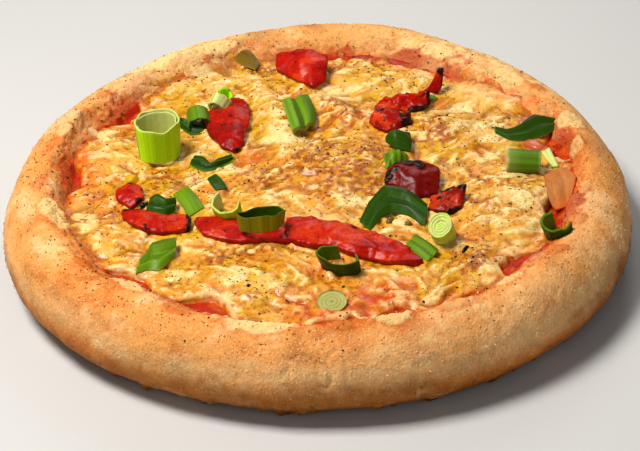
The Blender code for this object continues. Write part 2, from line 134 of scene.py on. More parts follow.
# Mounds in the cheese, in mm and degrees: x, y, half length, half width, turn, height.
CHEESE_MOUNDS = (
    (58, 28, 19, 12, -10, 4.5),
    (77, -31, 22, 19, 70, 5.2),
    (12, 2, 26, 20, 15, 4.2),
    (-18, 44, 32, 8, -74, 4.2),
    (12, 50, 15, 6, -43, 3.0),
    (32, 74, 24, 11, -8, 2.2),
    (77, 58, 20, 9, -32, 3.0),
    (-87, 16, 19, 11, 80, 2.6),
    (-56, 72, 20, 11, 35, 3.0),
    (-26, -78, 32, 15, 8, 2.6),
    (30, -84, 22, 12, -12, 1.8),
    (63, -74, 12, 10, 25, 3.6),
    (-83, -46, 18, 12, -50, 2.4),
    (-40, 22, 16, 9, 5, 1.4),
)

# Melted cheese on the rim's inner lip: direction, distance, length along the rim, width, share of orange.
LIP_MELTS = (
    (199, 110, 26, 12, 0.0),
    (187, 113, 12, 9, 0.8),
    (176, 109, 13, 6, 0.6),
    (166, 110, 14, 8, 0.2),
    (219, 114, 12, 8, 1.0),
    (231, 112, 20, 8, 0.1),
    (244, 114, 18, 9, 0.9),
    (259, 115, 34, 11, 0.0),
    (274, 114, 20, 10, 0.9),
    (283, 116, 18, 9, 0.1),
    (296, 116, 18, 8, 0.5),
    (309, 114, 14, 8, 0.1),
    (322, 116, 14, 8, 0.9),
    (334, 114, 10, 8, 0.7),
    (346, 112, 12, 7, 0.5),
    (2, 110, 12, 6, 0.3),
    (20, 108, 16, 6, 0.5),
    (44, 109, 18, 6, 0.3),
    (72, 107, 18, 6, 0.5),
    (96, 106, 16, 5, 0.4),
    (130, 113, 34, 17, 0.0),
    (114, 109, 24, 11, 0.0),
    (58, 109, 20, 11, 0.0),
    (36, 109, 22, 12, 0.1),
    (28, 113, 10, 8, 0.9),
    (12, 113, 20, 12, 0.0),
    (148, 109, 12, 6, 0.7),
)

# Where sauce shows between cheese and rim: direction, half angle, how far the cheese stops short in mm.
SAUCE_GAPS = (
    (179, 6, 5.5),
    (147, 5, 6.0),
    (96, 4, 2.0),
    (83, 6, 2.5),
    (66, 5, 3.5),
    (53, 4, 3.5),
    (9, 5, 6.0),
    (343, 7, 6.5),
    (318, 6, 8.0),
    (301, 4, 4.0),
    (285, 5, 8.0),
    (274, 6, 9.0),
    (245, 6, 9.0),
    (225, 6, 7.0),
)

# Where cheese has run up on the rim: direction, half angle, reach beyond the well's edge in mm.
CHEESE_RUNS = (
    (260, 6, 4.0),
    (201, 10, 5.5),
    (292, 5, 3.0),
    (309, 4, 5.0),
    (330, 4, 3.0),
    (132, 9, 5.0),
    (117, 7, 6.0),
    (161, 5, 5.0),
    (45, 8, 6.0),
    (28, 6, 4.0),
)

# Patches of one finish on the cheese, in mm: x, y, half length, half width, turn in degrees, strength.
TOASTED_PATCHES = (
    (10, 3, 25, 18, 15, 1.0),
    (16, -12, 24, 11, 12, 0.9),
    (-16, -2, 20, 11, 20, 0.7),
    (58, 26, 20, 12, -10, 0.65),
    (76, -32, 22, 17, 70, 0.5),
    (60, -71, 11, 8, 20, 1.0),
    (-66, -6, 22, 9, 10, 0.8),
    (-30, 92, 18, 8, -20, 0.9),
    (12, 50, 15, 6, -43, 0.9),
    (-30, -60, 18, 6, 8, 0.7),
    (-80, 27, 12, 8, 80, 0.7),
    (-84, -22, 8, 14, 0, 0.6),
    (90, 34, 14, 10, 40, 0.5),
    (38, 92, 20, 6, -14, 0.5),
)
YELLOW_PATCHES = (
    (-62, -2, 16, 10, 0, 0.8),
    (-33, 6, 14, 9, 10, 0.6),
    (-22, 42, 9, 22, 10, 1.0),
    (28, 5, 9, 14, 0, 0.6),
    (20, 76, 26, 10, -8, 1.0),
    (-64, -68, 12, 7, -30, 0.8),
    (-28, -78, 34, 14, 8, 0.8),
    (44, -90, 20, 11, 14, 0.9),
    (-35, -22, 10, 8, 0, 0.7),
    (82, 0, 12, 10, 0, 0.6),
    (-10, 84, 20, 8, 0, 0.6),
)
STAINED_PATCHES = (
    (14, -94, 27, 12, 6, 1.0),
    (28, -90, 14, 12, 0, 0.8),
    (6, -72, 12, 10, 0, 0.7),
    (-27, 11, 7, 6, 40, 0.9),
    (94, 52, 14, 8, -50, 0.8),
    (-90, -16, 8, 16, 0, 0.6),
    (-74, 46, 12, 8, 40, 0.8),
    (22, 40, 16, 6, -20, 0.6),
    (-96, 8, 8, 22, 0, 0.7),
    (62, 76, 16, 6, -40, 0.7),
)
PALE_PATCHES = (
    (-74, 76, 18, 9, 42, 1.0),
    (-50, 92, 16, 8, 25, 1.0),
    (-92, 44, 10, 9, 60, 0.8),
    (-98, -28, 10, 12, 0, 0.8),
    (-6, -34, 18, 8, 0, 0.9),
    (58, 30, 15, 10, -20, 0.9),
    (76, -30, 20, 13, 70, 0.9),
    (58, 46, 22, 8, -25, 0.8),
    (74, 62, 22, 8, -35, 1.0),
    (78, 24, 12, 10, 0, 0.7),
    (-44, -76, 16, 7, 10, 0.7),
    (78, -70, 12, 7, 40, 0.8),
    (-12, 22, 12, 14, 0, 0.6),
)

# Small bits, in mm and degrees: x, y, half length, half width, half height, turn, colour.
BITS = (
    (-76.2, -2.5, 3.2, 3.0, 2.6, 0, "cheese_yellow"),
    (29.6, -38.4, 2.4, 1.5, 1.4, 60, "onion_olive"),
    (36.6, -42.4, 2.0, 1.3, 1.2, 20, "onion_olive"),
    (33.6, -41.2, 3.4, 2.4, 1.8, -30, "cheese_pale"),
    (28.6, -47.0, 3.0, 2.0, 1.5, 10, "cheese_pale"),
    (94.0, 15.6, 5.2, 3.4, 2.0, -50, "pink_flesh"),
    (99.0, 11.5, 3.0, 2.2, 1.6, -30, "pink_flesh"),
    (52.8, 58.6, 3.4, 1.6, 1.5, -20, "onion_green"),
    (-69.4, -23.0, 2.2, 1.5, 1.6, 40, "char_black"),
    (-72.2, -26.4, 2.4, 1.3, 1.3, -20, "char_black"),
    (-75.6, -28.0, 1.6, 1.1, 1.2, 10, "char_black"),
    (-66.0, -21.0, 1.4, 1.0, 1.1, 70, "char_black"),
    (58.0, -61.5, 2.4, 1.0, 1.2, 60, "char_black"),
)

# Roasted pepper: node, near edge and far edge in mm of x, y and lift, (thickness, bulge) in mm, share of dark
# skin (on pepper_centre partly painted shade), share of orange, (depth, size) of the folds in mm, points
# along and across, seed, charred spots.
# Each charred spot is a share along, a share across, its reach along and across, and its strength.
PEPPERS = (
    (
        "pepper_back",
        ((-16.5, 83.7, 1.0), (-8.7, 77.5, 0.0), (-0.2, 67.6, 0.0), (5.7, 72.2, 0.0)),
        ((-16.8, 93.0, 5.0), (-8.0, 90.5, 7.0), (0.3, 90.0, 7.0), (8.0, 86.0, 6.5)),
        (3.2, 2.0), 0.0, 0.75, (1.1, 7.0), (72, 44), 201,
        (
            (0.1, 1.0, 0.1, 0.08, 0.9), (0.5, 1.0, 0.3, 0.07, 0.8), (0.9, 0.98, 0.12, 0.1, 0.9),
            (0.4, 0.45, 0.06, 0.04, 0.8),
        ),
    ),
    (
        "pepper_left",
        (
            (-42.8, 50.6, 1.0), (-47.4, 42.1, 0.0), (-44.5, 27.0, 0.0), (-39.0, 17.0, 0.0),
            (-33.1, 13.9, 0.0),
        ),
        (
            (-33.1, 58.4, 3.0), (-27.6, 49.0, 2.0), (-27.5, 40.0, 1.0), (-29.5, 28.2, 0.5),
            (-31.4, 15.2, 0.0),
        ),
        (3.0, 2.6), 0.2, 0.45, (1.2, 7.0), (72, 44), 211,
        (
            (0.99, 0.5, 0.07, 0.6, 1.0), (0.5, 0.35, 0.05, 0.1, 0.8), (0.42, 0.55, 0.03, 0.1, 0.8),
            (0.3, 0.75, 0.05, 0.05, 0.7),
        ),
    ),
    (
        "pepper_shrivelled",
        ((23.8, 36.3, 0.0), (25.9, 32.2, 0.0), (31.2, 27.2, 0.0), (39.1, 29.3, 0.0)),
        ((27.2, 43.6, 1.0), (35.0, 43.5, 2.0), (41.3, 38.4, 2.0), (43.2, 33.4, 0.0)),
        (2.6, 1.4), 0.5, 0.95, (2.2, 5.0), (72, 44), 221,
        (
            (0.15, 0.7, 0.12, 0.12, 0.9), (0.75, 0.75, 0.18, 0.2, 1.2), (0.95, 0.4, 0.14, 0.3, 1.1),
            (0.45, 0.3, 0.08, 0.1, 0.9),
        ),
    ),
    (
        "pepper_curl",
        ((27.8, 45.2, 0.0), (36.6, 46.9, 0.0), (42.6, 44.5, 0.0), (48.7, 45.8, 0.0), (52.4, 52.3, 0.0)),
        ((26.8, 47.5, 1.0), (31.5, 52.0, 3.0), (40.0, 54.1, 4.5), (45.7, 54.2, 5.0), (51.4, 57.7, 5.0)),
        (2.4, 1.2), 0.05, 1.0, (2.2, 5.5), (72, 44), 231,
        (
            (0.98, 0.5, 0.08, 0.4, 1.2), (0.72, 0.06, 0.22, 0.16, 1.2), (0.5, 0.92, 0.4, 0.06, 1.0),
            (0.85, 0.7, 0.06, 0.1, 1.0),
        ),
    ),
    (
        "pepper_tail",
        ((50.8, 63.2, 0.0), (53.7, 64.0, 4.0), (55.4, 64.8, 7.0), (56.6, 65.5, 9.6)),
        ((56.0, 60.3, 0.0), (58.0, 61.2, 3.0), (58.6, 62.5, 6.0), (59.2, 64.6, 9.6)),
        (2.0, 0.6), 0.35, 0.45, (0.3, 4.0), (72, 44), 241,
        ((1.0, 0.5, 0.3, 1.5, 1.0), (0.55, 1.0, 0.2, 0.2, 0.9)),
    ),
    # pepper_centre's high share of dark is partly its dark red skin and partly painted shade.
    (
        "pepper_centre",
        ((28.2, -14.6, 0.0), (34.0, -18.0, 0.0), (41.0, -24.5, 0.0), (50.2, -23.4, 0.0)),
        ((29.4, -9.8, 2.0), (37.0, -6.4, 4.4), (43.7, -5.1, 5.2), (52.0, -7.5, 3.0)),
        (3.0, 2.0), 0.92, 0.1, (1.3, 6.5), (72, 44), 251,
        (
            (0.0, 0.5, 0.18, 0.7, 1.2), (0.36, 0.94, 0.34, 0.2, 1.3), (0.2, 0.6, 0.14, 0.14, 1.1),
            (0.66, 0.74, 0.1, 0.08, 1.0),
        ),
    ),
    (
        "pepper_charred",
        ((44.8, -32.0, 0.0), (48.3, -35.3, 0.0), (53.6, -37.4, 0.0), (59.0, -35.1, 0.0)),
        ((46.5, -25.4, 1.0), (50.8, -22.9, 2.0), (54.9, -22.6, 2.5), (62.0, -23.8, 3.6)),
        (2.6, 1.2), 0.74, 0.6, (1.6, 5.0), (72, 44), 261,
        (
            (0.5, 0.93, 0.3, 0.13, 1.2), (0.98, 0.9, 0.12, 0.25, 1.2), (0.75, 0.0, 0.25, 0.14, 1.1),
            (0.4, 0.5, 0.12, 0.1, 0.9),
        ),
    ),
    (
        "pepper_corner",
        ((-82.4, -14.1, 0.5), (-80.3, -21.0, 0.0), (-75.0, -25.7, 0.0)),
        ((-76.6, -9.5, 1.5), (-71.0, -12.4, 1.0), (-69.4, -20.0, 0.0)),
        (2.4, 1.0), 0.08, 0.8, (1.0, 4.0), (72, 44), 271,
        (
            (0.05, 0.98, 0.12, 0.12, 1.0), (0.98, 0.6, 0.12, 0.35, 1.0), (0.45, 0.6, 0.05, 0.05, 0.8),
            (0.6, 0.9, 0.06, 0.06, 0.8),
        ),
    ),
    (
        "pepper_strip_left",
        (
            (-78.1, -32.2, 0.0), (-72.7, -40.1, 0.0), (-66.8, -44.3, 0.0), (-59.7, -45.1, 0.0),
            (-49.1, -43.2, 0.0),
        ),
        (
            (-77.3, -28.2, 0.5), (-72.4, -29.2, 1.0), (-68.0, -31.7, 1.0), (-60.7, -34.0, 1.0),
            (-49.4, -34.4, 1.0),
        ),
        (3.0, 1.5), 0.1, 0.45, (1.0, 5.0), (110, 44), 281,
        (
            (1.0, 0.5, 0.05, 1.2, 1.0), (0.06, 0.95, 0.14, 0.3, 1.2), (0.3, 0.98, 0.26, 0.12, 1.1),
            (0.5, 0.1, 0.08, 0.1, 0.9),
        ),
    ),
    (
        "pepper_strip_middle",
        (
            (-47.6, -41.4, 0), (-43.4, -48.0, 0), (-36.9, -51.8, 0), (-29.0, -53.6, 0), (-20.4, -53.0, 0),
            (-5.0, -54.0, 0),
        ),
        (
            (-47.7, -37.2, 1), (-44.6, -35.9, 1), (-39.0, -36.6, 1), (-30.9, -38.0, 1), (-21.4, -39.1, 1),
            (-5.0, -40.6, 0),
        ),
        (3.0, 1.5), 0.08, 0.45, (1.0, 5.0), (120, 44), 291,
        ((0.0, 0.5, 0.04, 0.8, 0.9), (0.22, 0.6, 0.04, 0.06, 0.8), (0.45, 0.3, 0.03, 0.06, 0.8)),
    ),
    (
        "pepper_strip_right",
        (
            (-12.6, -50.9, 0), (-6.3, -56.3, 0), (5.3, -59.4, 0), (13.7, -64.9, 0), (24.3, -69.0, 0),
            (41.0, -72.0, 0),
        ),
        (
            (-12.6, -39.3, 1), (-6.2, -37.9, 1), (1.7, -40.4, 1), (13.5, -45.2, 1), (25.1, -51.4, 1),
            (41.4, -68.7, 0),
        ),
        (3.4, 2.0), 0.05, 0.45, (1.3, 6.0), (150, 54), 301,
        ((0.62, 0.85, 0.04, 0.06, 0.8), (0.3, 0.5, 0.03, 0.05, 0.7)),
    ),
)

# Cut stalks: node, place in mm, (across, length, wall) in mm, (turn, lean) in degrees, colour outside and
# inside, squash, degrees left open, layers, slant of the far end in mm, how pale that end is, seed.
TUBES = (
    ("onion_tube_large", (-65.5, 16.5), (18.5, 16, 0.9), (100, 82), "lime", "pale", 0.95, 0, 2, 1.6, 0, 401),
    # Its dark inside is painted shade in the hollow.
    ("onion_tube_lime", (-50, 40), (10, 9.5, 1), (-80, -12), "green", "dark", 0.75, 0, 1, 0.8, 0, 411),
    ("onion_tube_white", (-41, 50.5), (9.5, 6, 1), (60, 24), "pale", "pale", 1, 0, 2, 0.8, 0, 421),
    ("onion_ring_small", (-39, 60.5), (7.4, 4.5, 1.5), (-60, 56), "green", "lime", 1, 0, 1, 0, 0, 431),
    ("onion_ring_pale", (-35.5, -35), (12, 6.5, 1), (232, 70), "lime", "pale", 1, 130, 1, 1, 0, 461),
    # Its dark inside is partly dark leaf and partly painted shade in the hollow.
    ("onion_ring_wide", (-21, -48), (18.5, 7, 0.8), (95, 84), "leafy", "dark", 0.5, 0, 1, -1.2, 0, 471),
    ("onion_ring_dark", (8, -73.5), (16.8, 7, 1), (225, 72), "dark", "green", 0.62, 60, 1, 1.2, 0, 481),
    ("onion_tube_right", (86.8, -4.5), (11.8, 14, 1), (172, 0), "mid", "pale", 0.8, 0, 1, 0, 0.2, 511),
    (
        "onion_ring_open", (94.2, -54.5), (12.2, 8.5, 1.4), (222, 66),
        "dark", "green", 0.85, 100, 1, 0.6, 0, 521,
    ),
)

# Tubes that rest on a strip of pepper and not in the cheese, and how many mm they sink into it.
RESTING = {"onion_ring_wide": 1.2}

# Slices of the stalk: node, colour inside and at the rings, (turn, lean) in degrees, size, mm sunk, seed.
SLICES = (
    ("onion_slice_sunk", "faded", "olive", (260, 68), (12.4, 3.6), 2.4, 531),
    ("onion_slice_pale", "pale", "lime", (236, 58), (10.6, 8.0), 1.4, 541),
)

# Bits of leaf: node, near edge and far edge in mm of x, y and lift, colour and edge colour, bulge in mm,
# (number, height in mm) of the creases, thickness in mm, how light the edge is, seed.
LEAVES = (
    (
        "onion_tube_back",
        ((-13.6, 52.1, 0.0), (-11.8, 40.1, 0.0), (-10.0, 29.4, 0.0), (-8.8, 24.5, 0.0)),
        ((-2.0, 57.0, 0.6), (-0.7, 51.3, 0.6), (1.0, 43.0, 0.4), (0.6, 35.9, 0.0)),
        "green", "pale", 1.0, (2, 1.3), 3.0, 0.35, 441,
    ),
    (
        "onion_tube_dark",
        ((-68.3, -28.9, 0.0), (-64.5, -32.7, 0.0), (-60.4, -32.9, 0.0), (-56.6, -28.7, 0.0)),
        ((-66.2, -23.2, 2.0), (-63.8, -22.2, 3.0), (-60.3, -25.6, 3.0), (-56.4, -23.0, 2.0)),
        "dark", "lime", 1.0, (2, 1.2), 1.6, 0.5, 451,
    ),
    (
        "onion_tube_dark_back",
        ((30.7, 15.5, 0.5), (35.1, 10.4, 0.5), (41.0, 10.0, 0.0)),
        ((31.2, 18.6, 1.5), (34.4, 21.7, 2.5), (41.3, 21.2, 2.0)),
        "dark", "green", 3.6, (1, 0.8), 1.4, 0.4, 491,
    ),
    (
        "onion_tube_striped",
        ((29.0, 5.0, 0.0), (29.8, -5.3, 0.0)),
        ((39.2, 7.4, 0.0), (38.9, -1.0, 0.0)),
        "green", "pale", 4.4, (4, 0.35), 1.3, 0.4, 501,
    ),
    (
        "onion_leaf_behind",
        ((-61.9, 42.0, 0.0), (-56.7, 35.8, 0.0), (-53.2, 32.1, 0.0), (-47.8, 31.5, 0.0)),
        ((-61.8, 45.0, 2.0), (-56.8, 42.3, 2.5), (-52.5, 39.9, 1.0), (-47.6, 38.3, 1.0)),
        "dark", "green", 0.6, (2, -1.2), 1.0, 0.4, 551,
    ),
    (
        "onion_leaf_olive",
        ((-36.0, 97.0, 0.0), (-31.0, 90.5, 0.0), (-26.0, 87.0, 0.0)),
        ((-32.0, 104.0, 1.5), (-28.0, 100.0, 1.5), (-23.5, 91.0, 1.0)),
        "olive", "pale", 1.4, (0, 0.0), 1.6, 0.4, 561,
    ),
    (
        "onion_leaf_left",
        ((-52.7, 6.0, 0.4), (-49.2, 2.8, 0), (-46.2, 0.6, 0), (-41.2, 1.0, 0), (-33.4, 8.8, 0.4)),
        ((-50.6, 11.4, 1.8), (-46.4, 9.2, 2.2), (-43.2, 6.4, 0.4), (-39.6, 7.8, 2.4), (-34.6, 11.6, 1.8)),
        "dark", "lime", 1.6, (2, -0.8), 1.0, 0.6, 571,
    ),
    (
        "onion_leaf_small",
        ((-44.7, -4.6, 0.0), (-43.4, -8.0, 0.3), (-41.0, -13.2, 0.0)),
        ((-41.2, -2.6, 1.0), (-38.6, -7.0, 1.3), (-35.7, -13.0, 0.5)),
        "dark", "green", 0.6, (0, 0.0), 1.0, 0.4, 581,
    ),
    (
        "onion_leaf_bright",
        ((-58.1, -17.0, 0.4), (-54.3, -25.2, 0.8), (-50.8, -33.0, 0.0)),
        ((-52.3, -11.0, 1.2), (-48.4, -19.6, 1.8), (-44.6, -28.0, 1.0)),
        "bright", "lime", 1.2, (0, 0.0), 1.2, 0.25, 591,
    ),
    (
        "onion_leaf_front",
        ((-69.6, -71.4, 0.0), (-64.6, -69.2, 0.0), (-60.2, -69.8, 0.0), (-54.9, -60.4, 0.0)),
        (
            (-68.1, -63.4, 0.5), (-65.4, -59.5, 1.5), (-63.7, -54.0, 2.5), (-59.3, -52.6, 3.0),
            (-54.4, -51.0, 2.5),
        ),
        "green", "pale", 0.4, (2, 1.4), 1.0, 0.3, 601,
    ),
    (
        "onion_leaf_right",
        ((34.6, -58.4, 0.0), (38.4, -64.2, 0.3), (42.4, -70.0, 0.0)),
        ((39.1, -51.7, 1.0), (43.2, -57.8, 1.4), (47.6, -63.4, 1.0)),
        "green", "lime", 0.5, (2, 0.6), 1.0, 0.4, 611,
    ),
    (
        "onion_leaf_arched",
        (
            (21.4, -46.4, 0.0), (26.0, -38.0, 0.4), (30.6, -34.6, 0.6), (36.9, -36.6, 0.4),
            (43.5, -45.0, 0.0),
        ),
        (
            (17.2, -40.0, 0.0), (21.8, -30.2, 3.0), (28.4, -23.0, 5.6), (37.2, -25.2, 5.2),
            (45.4, -31.2, 1.4),
        ),
        "dark", "green", 0.8, (2, 0.8), 1.0, 0.25, 621,
    ),
    (
        "onion_leaf_curved",
        ((77.6, 23.2, 0), (83.8, 18.6, 0), (90.8, 18.8, 0), (99.7, 22.0, 0.6), (107.0, 28.4, 2.6)),
        ((77.2, 25.8, 1), (83.0, 24.6, 1.4), (88.6, 26.2, 3.4), (95.0, 31.0, 6.0), (107.2, 29.4, 3.6)),
        "dark", "pale", 0.6, (2, 0.9), 1.0, 0.45, 631,
    ),
    (
        "onion_sliver",
        ((96.0, 8.8, 0.2), (98.9, -3.6, 0.0)),
        ((99.7, 11.0, 1.0), (101.6, -4.0, 0.4)),
        "pale", "lime", 0.6, (0, 0.0), 1.4, 0.5, 641,
    ),
)

# Onion colours, and those between two of them: name, one, the other, its share.
ONION_COLOURS = ("lime", "green", "dark", "pale", "olive")
ONION_BLENDS = (
    ("leafy", "olive", "lime", 0.16),
    ("mid", "green", "dark", 0.3),
    ("bright", "lime", "green", 0.93),
    ("faded", "pale", "olive", 0.4),
)

# What a finish has where it says nothing else: a dry surface without flecks.
PLAIN_FINISH = {"coat": 0.0, "coat_roughness": 0.2, "soft": 0.0, "flecks": None, "shine": 0.18}

# The finishes: scale and depth of the fine shading, range of gloss, (scale, mm) of the bumps, a wet coat,
# soft light, (colour, scale, share) of the flecks and shine.
FINISHES = {
    "baked_dough": {
        "grain": 900.0, "shade": 0.14, "gloss": (0.50, 0.72), "bumps": ((1100.0, 0.42), (380.0, 0.45)),
        "soft": 0.06, "flecks": ("crust_grain", 1250.0, 0.58), "shine": 0.10,
    },
    "crust_grain": {
        "grain": 2500.0, "shade": 0.08, "gloss": (0.35, 0.55), "bumps": ((2500.0, 0.05),), "soft": 0.1,
    },
    "tomato_sauce": {
        "grain": 1200.0, "shade": 0.20, "gloss": (0.30, 0.50), "bumps": ((900.0, 0.45),), "coat": 0.05,
        "coat_roughness": 0.15, "shine": 0.10,
    },
    "melted_cheese": {
        "grain": 800.0, "shade": 0.26, "gloss": (0.18, 0.40), "bumps": ((1500.0, 0.12), (600.0, 0.22)),
        "coat": 0.22, "coat_roughness": 0.12, "soft": 0.12, "flecks": ("cheese_scorched", 1700.0, 0.60),
    },
    "dried_herb": {
        "grain": 2500.0, "shade": 0.25, "gloss": (0.5, 0.7), "bumps": ((2500.0, 0.05),),
    },
    "roasted_pepper_skin": {
        "grain": 1100.0, "shade": 0.34, "gloss": (0.14, 0.30), "bumps": ((1000.0, 0.20), (420.0, 0.14)),
        "coat": 0.06, "coat_roughness": 0.08, "flecks": ("speck_dark", 1500.0, 0.64), "shine": 0.10,
    },
    "spring_onion_skin": {
        "grain": 1500.0, "shade": 0.08, "gloss": (0.26, 0.46), "bumps": ((900.0, 0.14),), "coat": 0.03,
        "coat_roughness": 0.12, "shine": 0.10,
    },
    "cooked_onion_flesh": {
        "grain": 1200.0, "shade": 0.14, "gloss": (0.28, 0.44), "bumps": ((900.0, 0.12),), "coat": 0.05,
        "shine": 0.12,
    },
    "small_bits": {
        "grain": 1200.0, "shade": 0.15, "gloss": (0.15, 0.35), "bumps": ((900.0, 0.12),), "coat": 0.2,
        "coat_roughness": 0.1,
    },
}


def paint(red, green, blue):
    """A colour on the usual scale from 0 to 255, as linear light."""
    share = np.array((red, green, blue)) / 255.0
    return tuple(np.where(share <= 0.04045, share / 12.92, ((share + 0.055) / 1.055) ** 2.4))


def smooth(low, high, value):
    """A smooth step: 0 below low, 1 above high, and an S curve between."""
    share = np.clip((value - low) / (high - low), 0.0, 1.0)
    return share * share * (3 - 2 * share)


def noise(points, size, seed):
    """Smooth noise from -1 to 1 in two or three dimensions.

    Cubes of that size have a random value at each corner, blended inside by a smooth step.
    """
    table = np.random.default_rng(seed).uniform(-1, 1, 8192)
    factors = np.array((73856093, 19349663, 83492791))
    place = points / size + 57.3
    cell = np.floor(place).astype(np.int64)
    part = place - cell
    part = part * part * (3 - 2 * part)
    total = np.zeros(len(points))
    for corner in itertools.product((0, 1), repeat=points.shape[1]):
        key = np.zeros(len(points), np.int64)
        weight = np.ones(len(points))
        for axis, step in enumerate(corner):
            key ^= (cell[:, axis] + step) * factors[axis]
            weight *= part[:, axis] if step else 1 - part[:, axis]
        total += weight * table[key % 8192]
    return total


def layered(points, size, seed, layers=4, fade=0.55):
    """Noise at halving sizes, each layer turned and fainter than the one before, from about -1 to 1."""
    total = np.zeros(len(points))
    strength = 1.0
    turn = LAYER_TURN @ LAYER_TIP if points.shape[1] == 3 else LAYER_TURN[:2, :2]
    for layer in range(layers):
        points = points @ turn
        total += strength * noise(points, size / 2**layer, seed + 17 * layer)
        strength *= fade
    return total * (1 - fade)


def billows(points, size, seed):
    """Rounded lumps with creased valleys: the absolute value of noise at bent places, from 0 to about 1."""
    bend = np.column_stack((noise(points, size * 1.3, seed), noise(points, size * 1.3, seed + 1)))
    bent = (points + 0.35 * size * bend) @ LAYER_TURN[:2, :2]
    fine = np.abs(noise(bent, size * 0.42, seed + 3))
    return 0.72 * np.abs(noise(bent, size, seed + 2)) + 0.28 * fine


def mixed(colour, other, amount):
    """Colours moved towards another colour by that share, point by point."""
    amount = np.broadcast_to(np.clip(amount, 0.0, 1.0), len(colour))[:, None]
    return colour * (1 - amount) + np.asarray(other) * amount


def oval(x, y, middle_x, middle_y, half_length, half_width, turn):
    """1 in the middle of a turned oval, and fading to 0 at about twice its half sizes."""
    angle = math.radians(turn)
    dx, dy = x - middle_x * MM, y - middle_y * MM
    u = (dx * math.cos(angle) + dy * math.sin(angle)) / (half_length * MM)
    v = (dy * math.cos(angle) - dx * math.sin(angle)) / (half_width * MM)
    return np.exp(-((u * u + v * v) ** 1.3))


def patches(x, y, places):
    """The strongest of several oval patches at each point."""
    total = np.zeros(np.shape(x))
    for *place, strength in places:
        total = np.maximum(total, strength * oval(x, y, *place))
    return total


def turned(angle, direction):
    """The difference between two directions in degrees, from -180 to 180."""
    return (np.degrees(angle) - direction + 180.0) % 360.0 - 180.0


def polar(x, y):
    """The angle and distance of points from the middle of the dough."""
    dx, dy = x - CENTRE[0], y - CENTRE[1]
    return np.arctan2(dy, dx), np.hypot(dx, dy)


def outline_radius(angle):
    """The dough's widest radius: a circle, a little oval and a little three sided."""
    return (
        PIZZA_RADIUS
        - 1.6 * MM * np.cos(2 * angle)
        + 0.4 * MM * np.sin(2 * angle)
        - 0.6 * MM * np.cos(3 * angle)
        - 2.2 * MM * np.sin(3 * angle)
    )


def rim_height(angle):
    """The rim's crest, with slow swells along it."""
    return RIM_HEIGHT + 0.5 * MM * np.sin(5 * angle + 0.8) + 0.4 * MM * np.sin(9 * angle + 2.1)


def well_radius(angle):
    """Where the rim's inner slope meets the topping."""
    return (
        WELL_RADIUS
        - WELL_SHIFT * np.sin(angle)
        + 1.2 * MM * np.sin(4 * angle + 1.1)
        + 0.9 * MM * np.sin(7 * angle + 0.3)
        + 0.6 * MM * np.sin(13 * angle + 2.0)
    )


def facing(angle, direction, half_angle, power=2):
    """1 in that direction round the pizza, and falling to 0 beyond the half angle, all in degrees."""
    return np.exp(-((turned(angle, direction) / half_angle) ** power))


def rim_oval(x, y, direction, distance, length, width):
    """An oval patch on the rim, at a direction and distance, whose long side follows the rim."""
    middle = distance * math.cos(math.radians(direction)), distance * math.sin(math.radians(direction))
    return oval(x, y, *middle, length / 2, width / 2, direction + 90)


def filled(colour, count):
    """One colour for each of that many points."""
    return np.tile(np.array(colour[:]), (count, 1))


def blisters(x, y):
    """How much the pale blisters raise the rim at a place."""
    return sum(height * MM * rim_oval(x, y, *place) for *place, height in RIM_BLISTERS)


def lip_melts(x, y):
    """How much melted cheese lies on the rim's lip at a place, with ragged edges, and how orange it is."""
    flat = np.column_stack((np.ravel(x), np.ravel(y)))
    ragged = 0.45 * layered(flat, 4.5 * MM, 301, layers=3)
    most, orange = np.zeros(len(flat)), np.zeros(len(flat))
    for *place, share in LIP_MELTS:
        spread = rim_oval(flat[:, 0], flat[:, 1], *place)
        orange = np.where(spread > most, share, orange)
        most = np.maximum(most, spread)
    covered = smooth(0.30, 0.75, most + ragged * (most > 0.02))
    return covered.reshape(np.shape(x)), orange.reshape(np.shape(x))


def dough_level(x, y):
    """The dough's height in the well and on the rim's inner slope."""
    angle, distance = polar(x, y)
    level = np.interp(distance - well_radius(angle), WELL_STEPS, WELL_HEIGHTS)
    return level + blisters(x, y) * smooth(0.0, 4.0 * MM, distance - well_radius(angle))


def cheese_reach(angle):
    """The cheese's ragged edge: past the well's edge where it ran up, short of it where sauce shows."""
    ring = np.column_stack((np.cos(angle), np.sin(angle))) * WELL_RADIUS
    reach = (1.2 + 2.2 * layered(ring, 14 * MM, 5) + 1.3 * noise(ring, 3.2 * MM, 8)) * MM
    for direction, half_angle, further in CHEESE_RUNS:
        reach += further * MM * facing(angle, direction, half_angle, 4)
    for direction, half_angle, shorter in SAUCE_GAPS:
        reach -= shorter * MM * facing(angle, direction, half_angle, 4)
    return well_radius(angle) + reach


def cheese_level(x, y):
    """The cheese's broad upper surface: a level with a mound over each larger piece beneath."""
    level = CHEESE_LEVEL + 0.0 * x
    for *mound, height in CHEESE_MOUNDS:
        level = level + height * MM * oval(x, y, *mound)
    return level


def cheese_ground(x, y):
    """The cheese's surface without its lumps and shreds: what the toppings lie on."""
    flat = np.column_stack((x, y))
    return cheese_level(x, y) - 0.9 * MM + 1.2 * MM * layered(flat, 17 * MM, 101, layers=2)


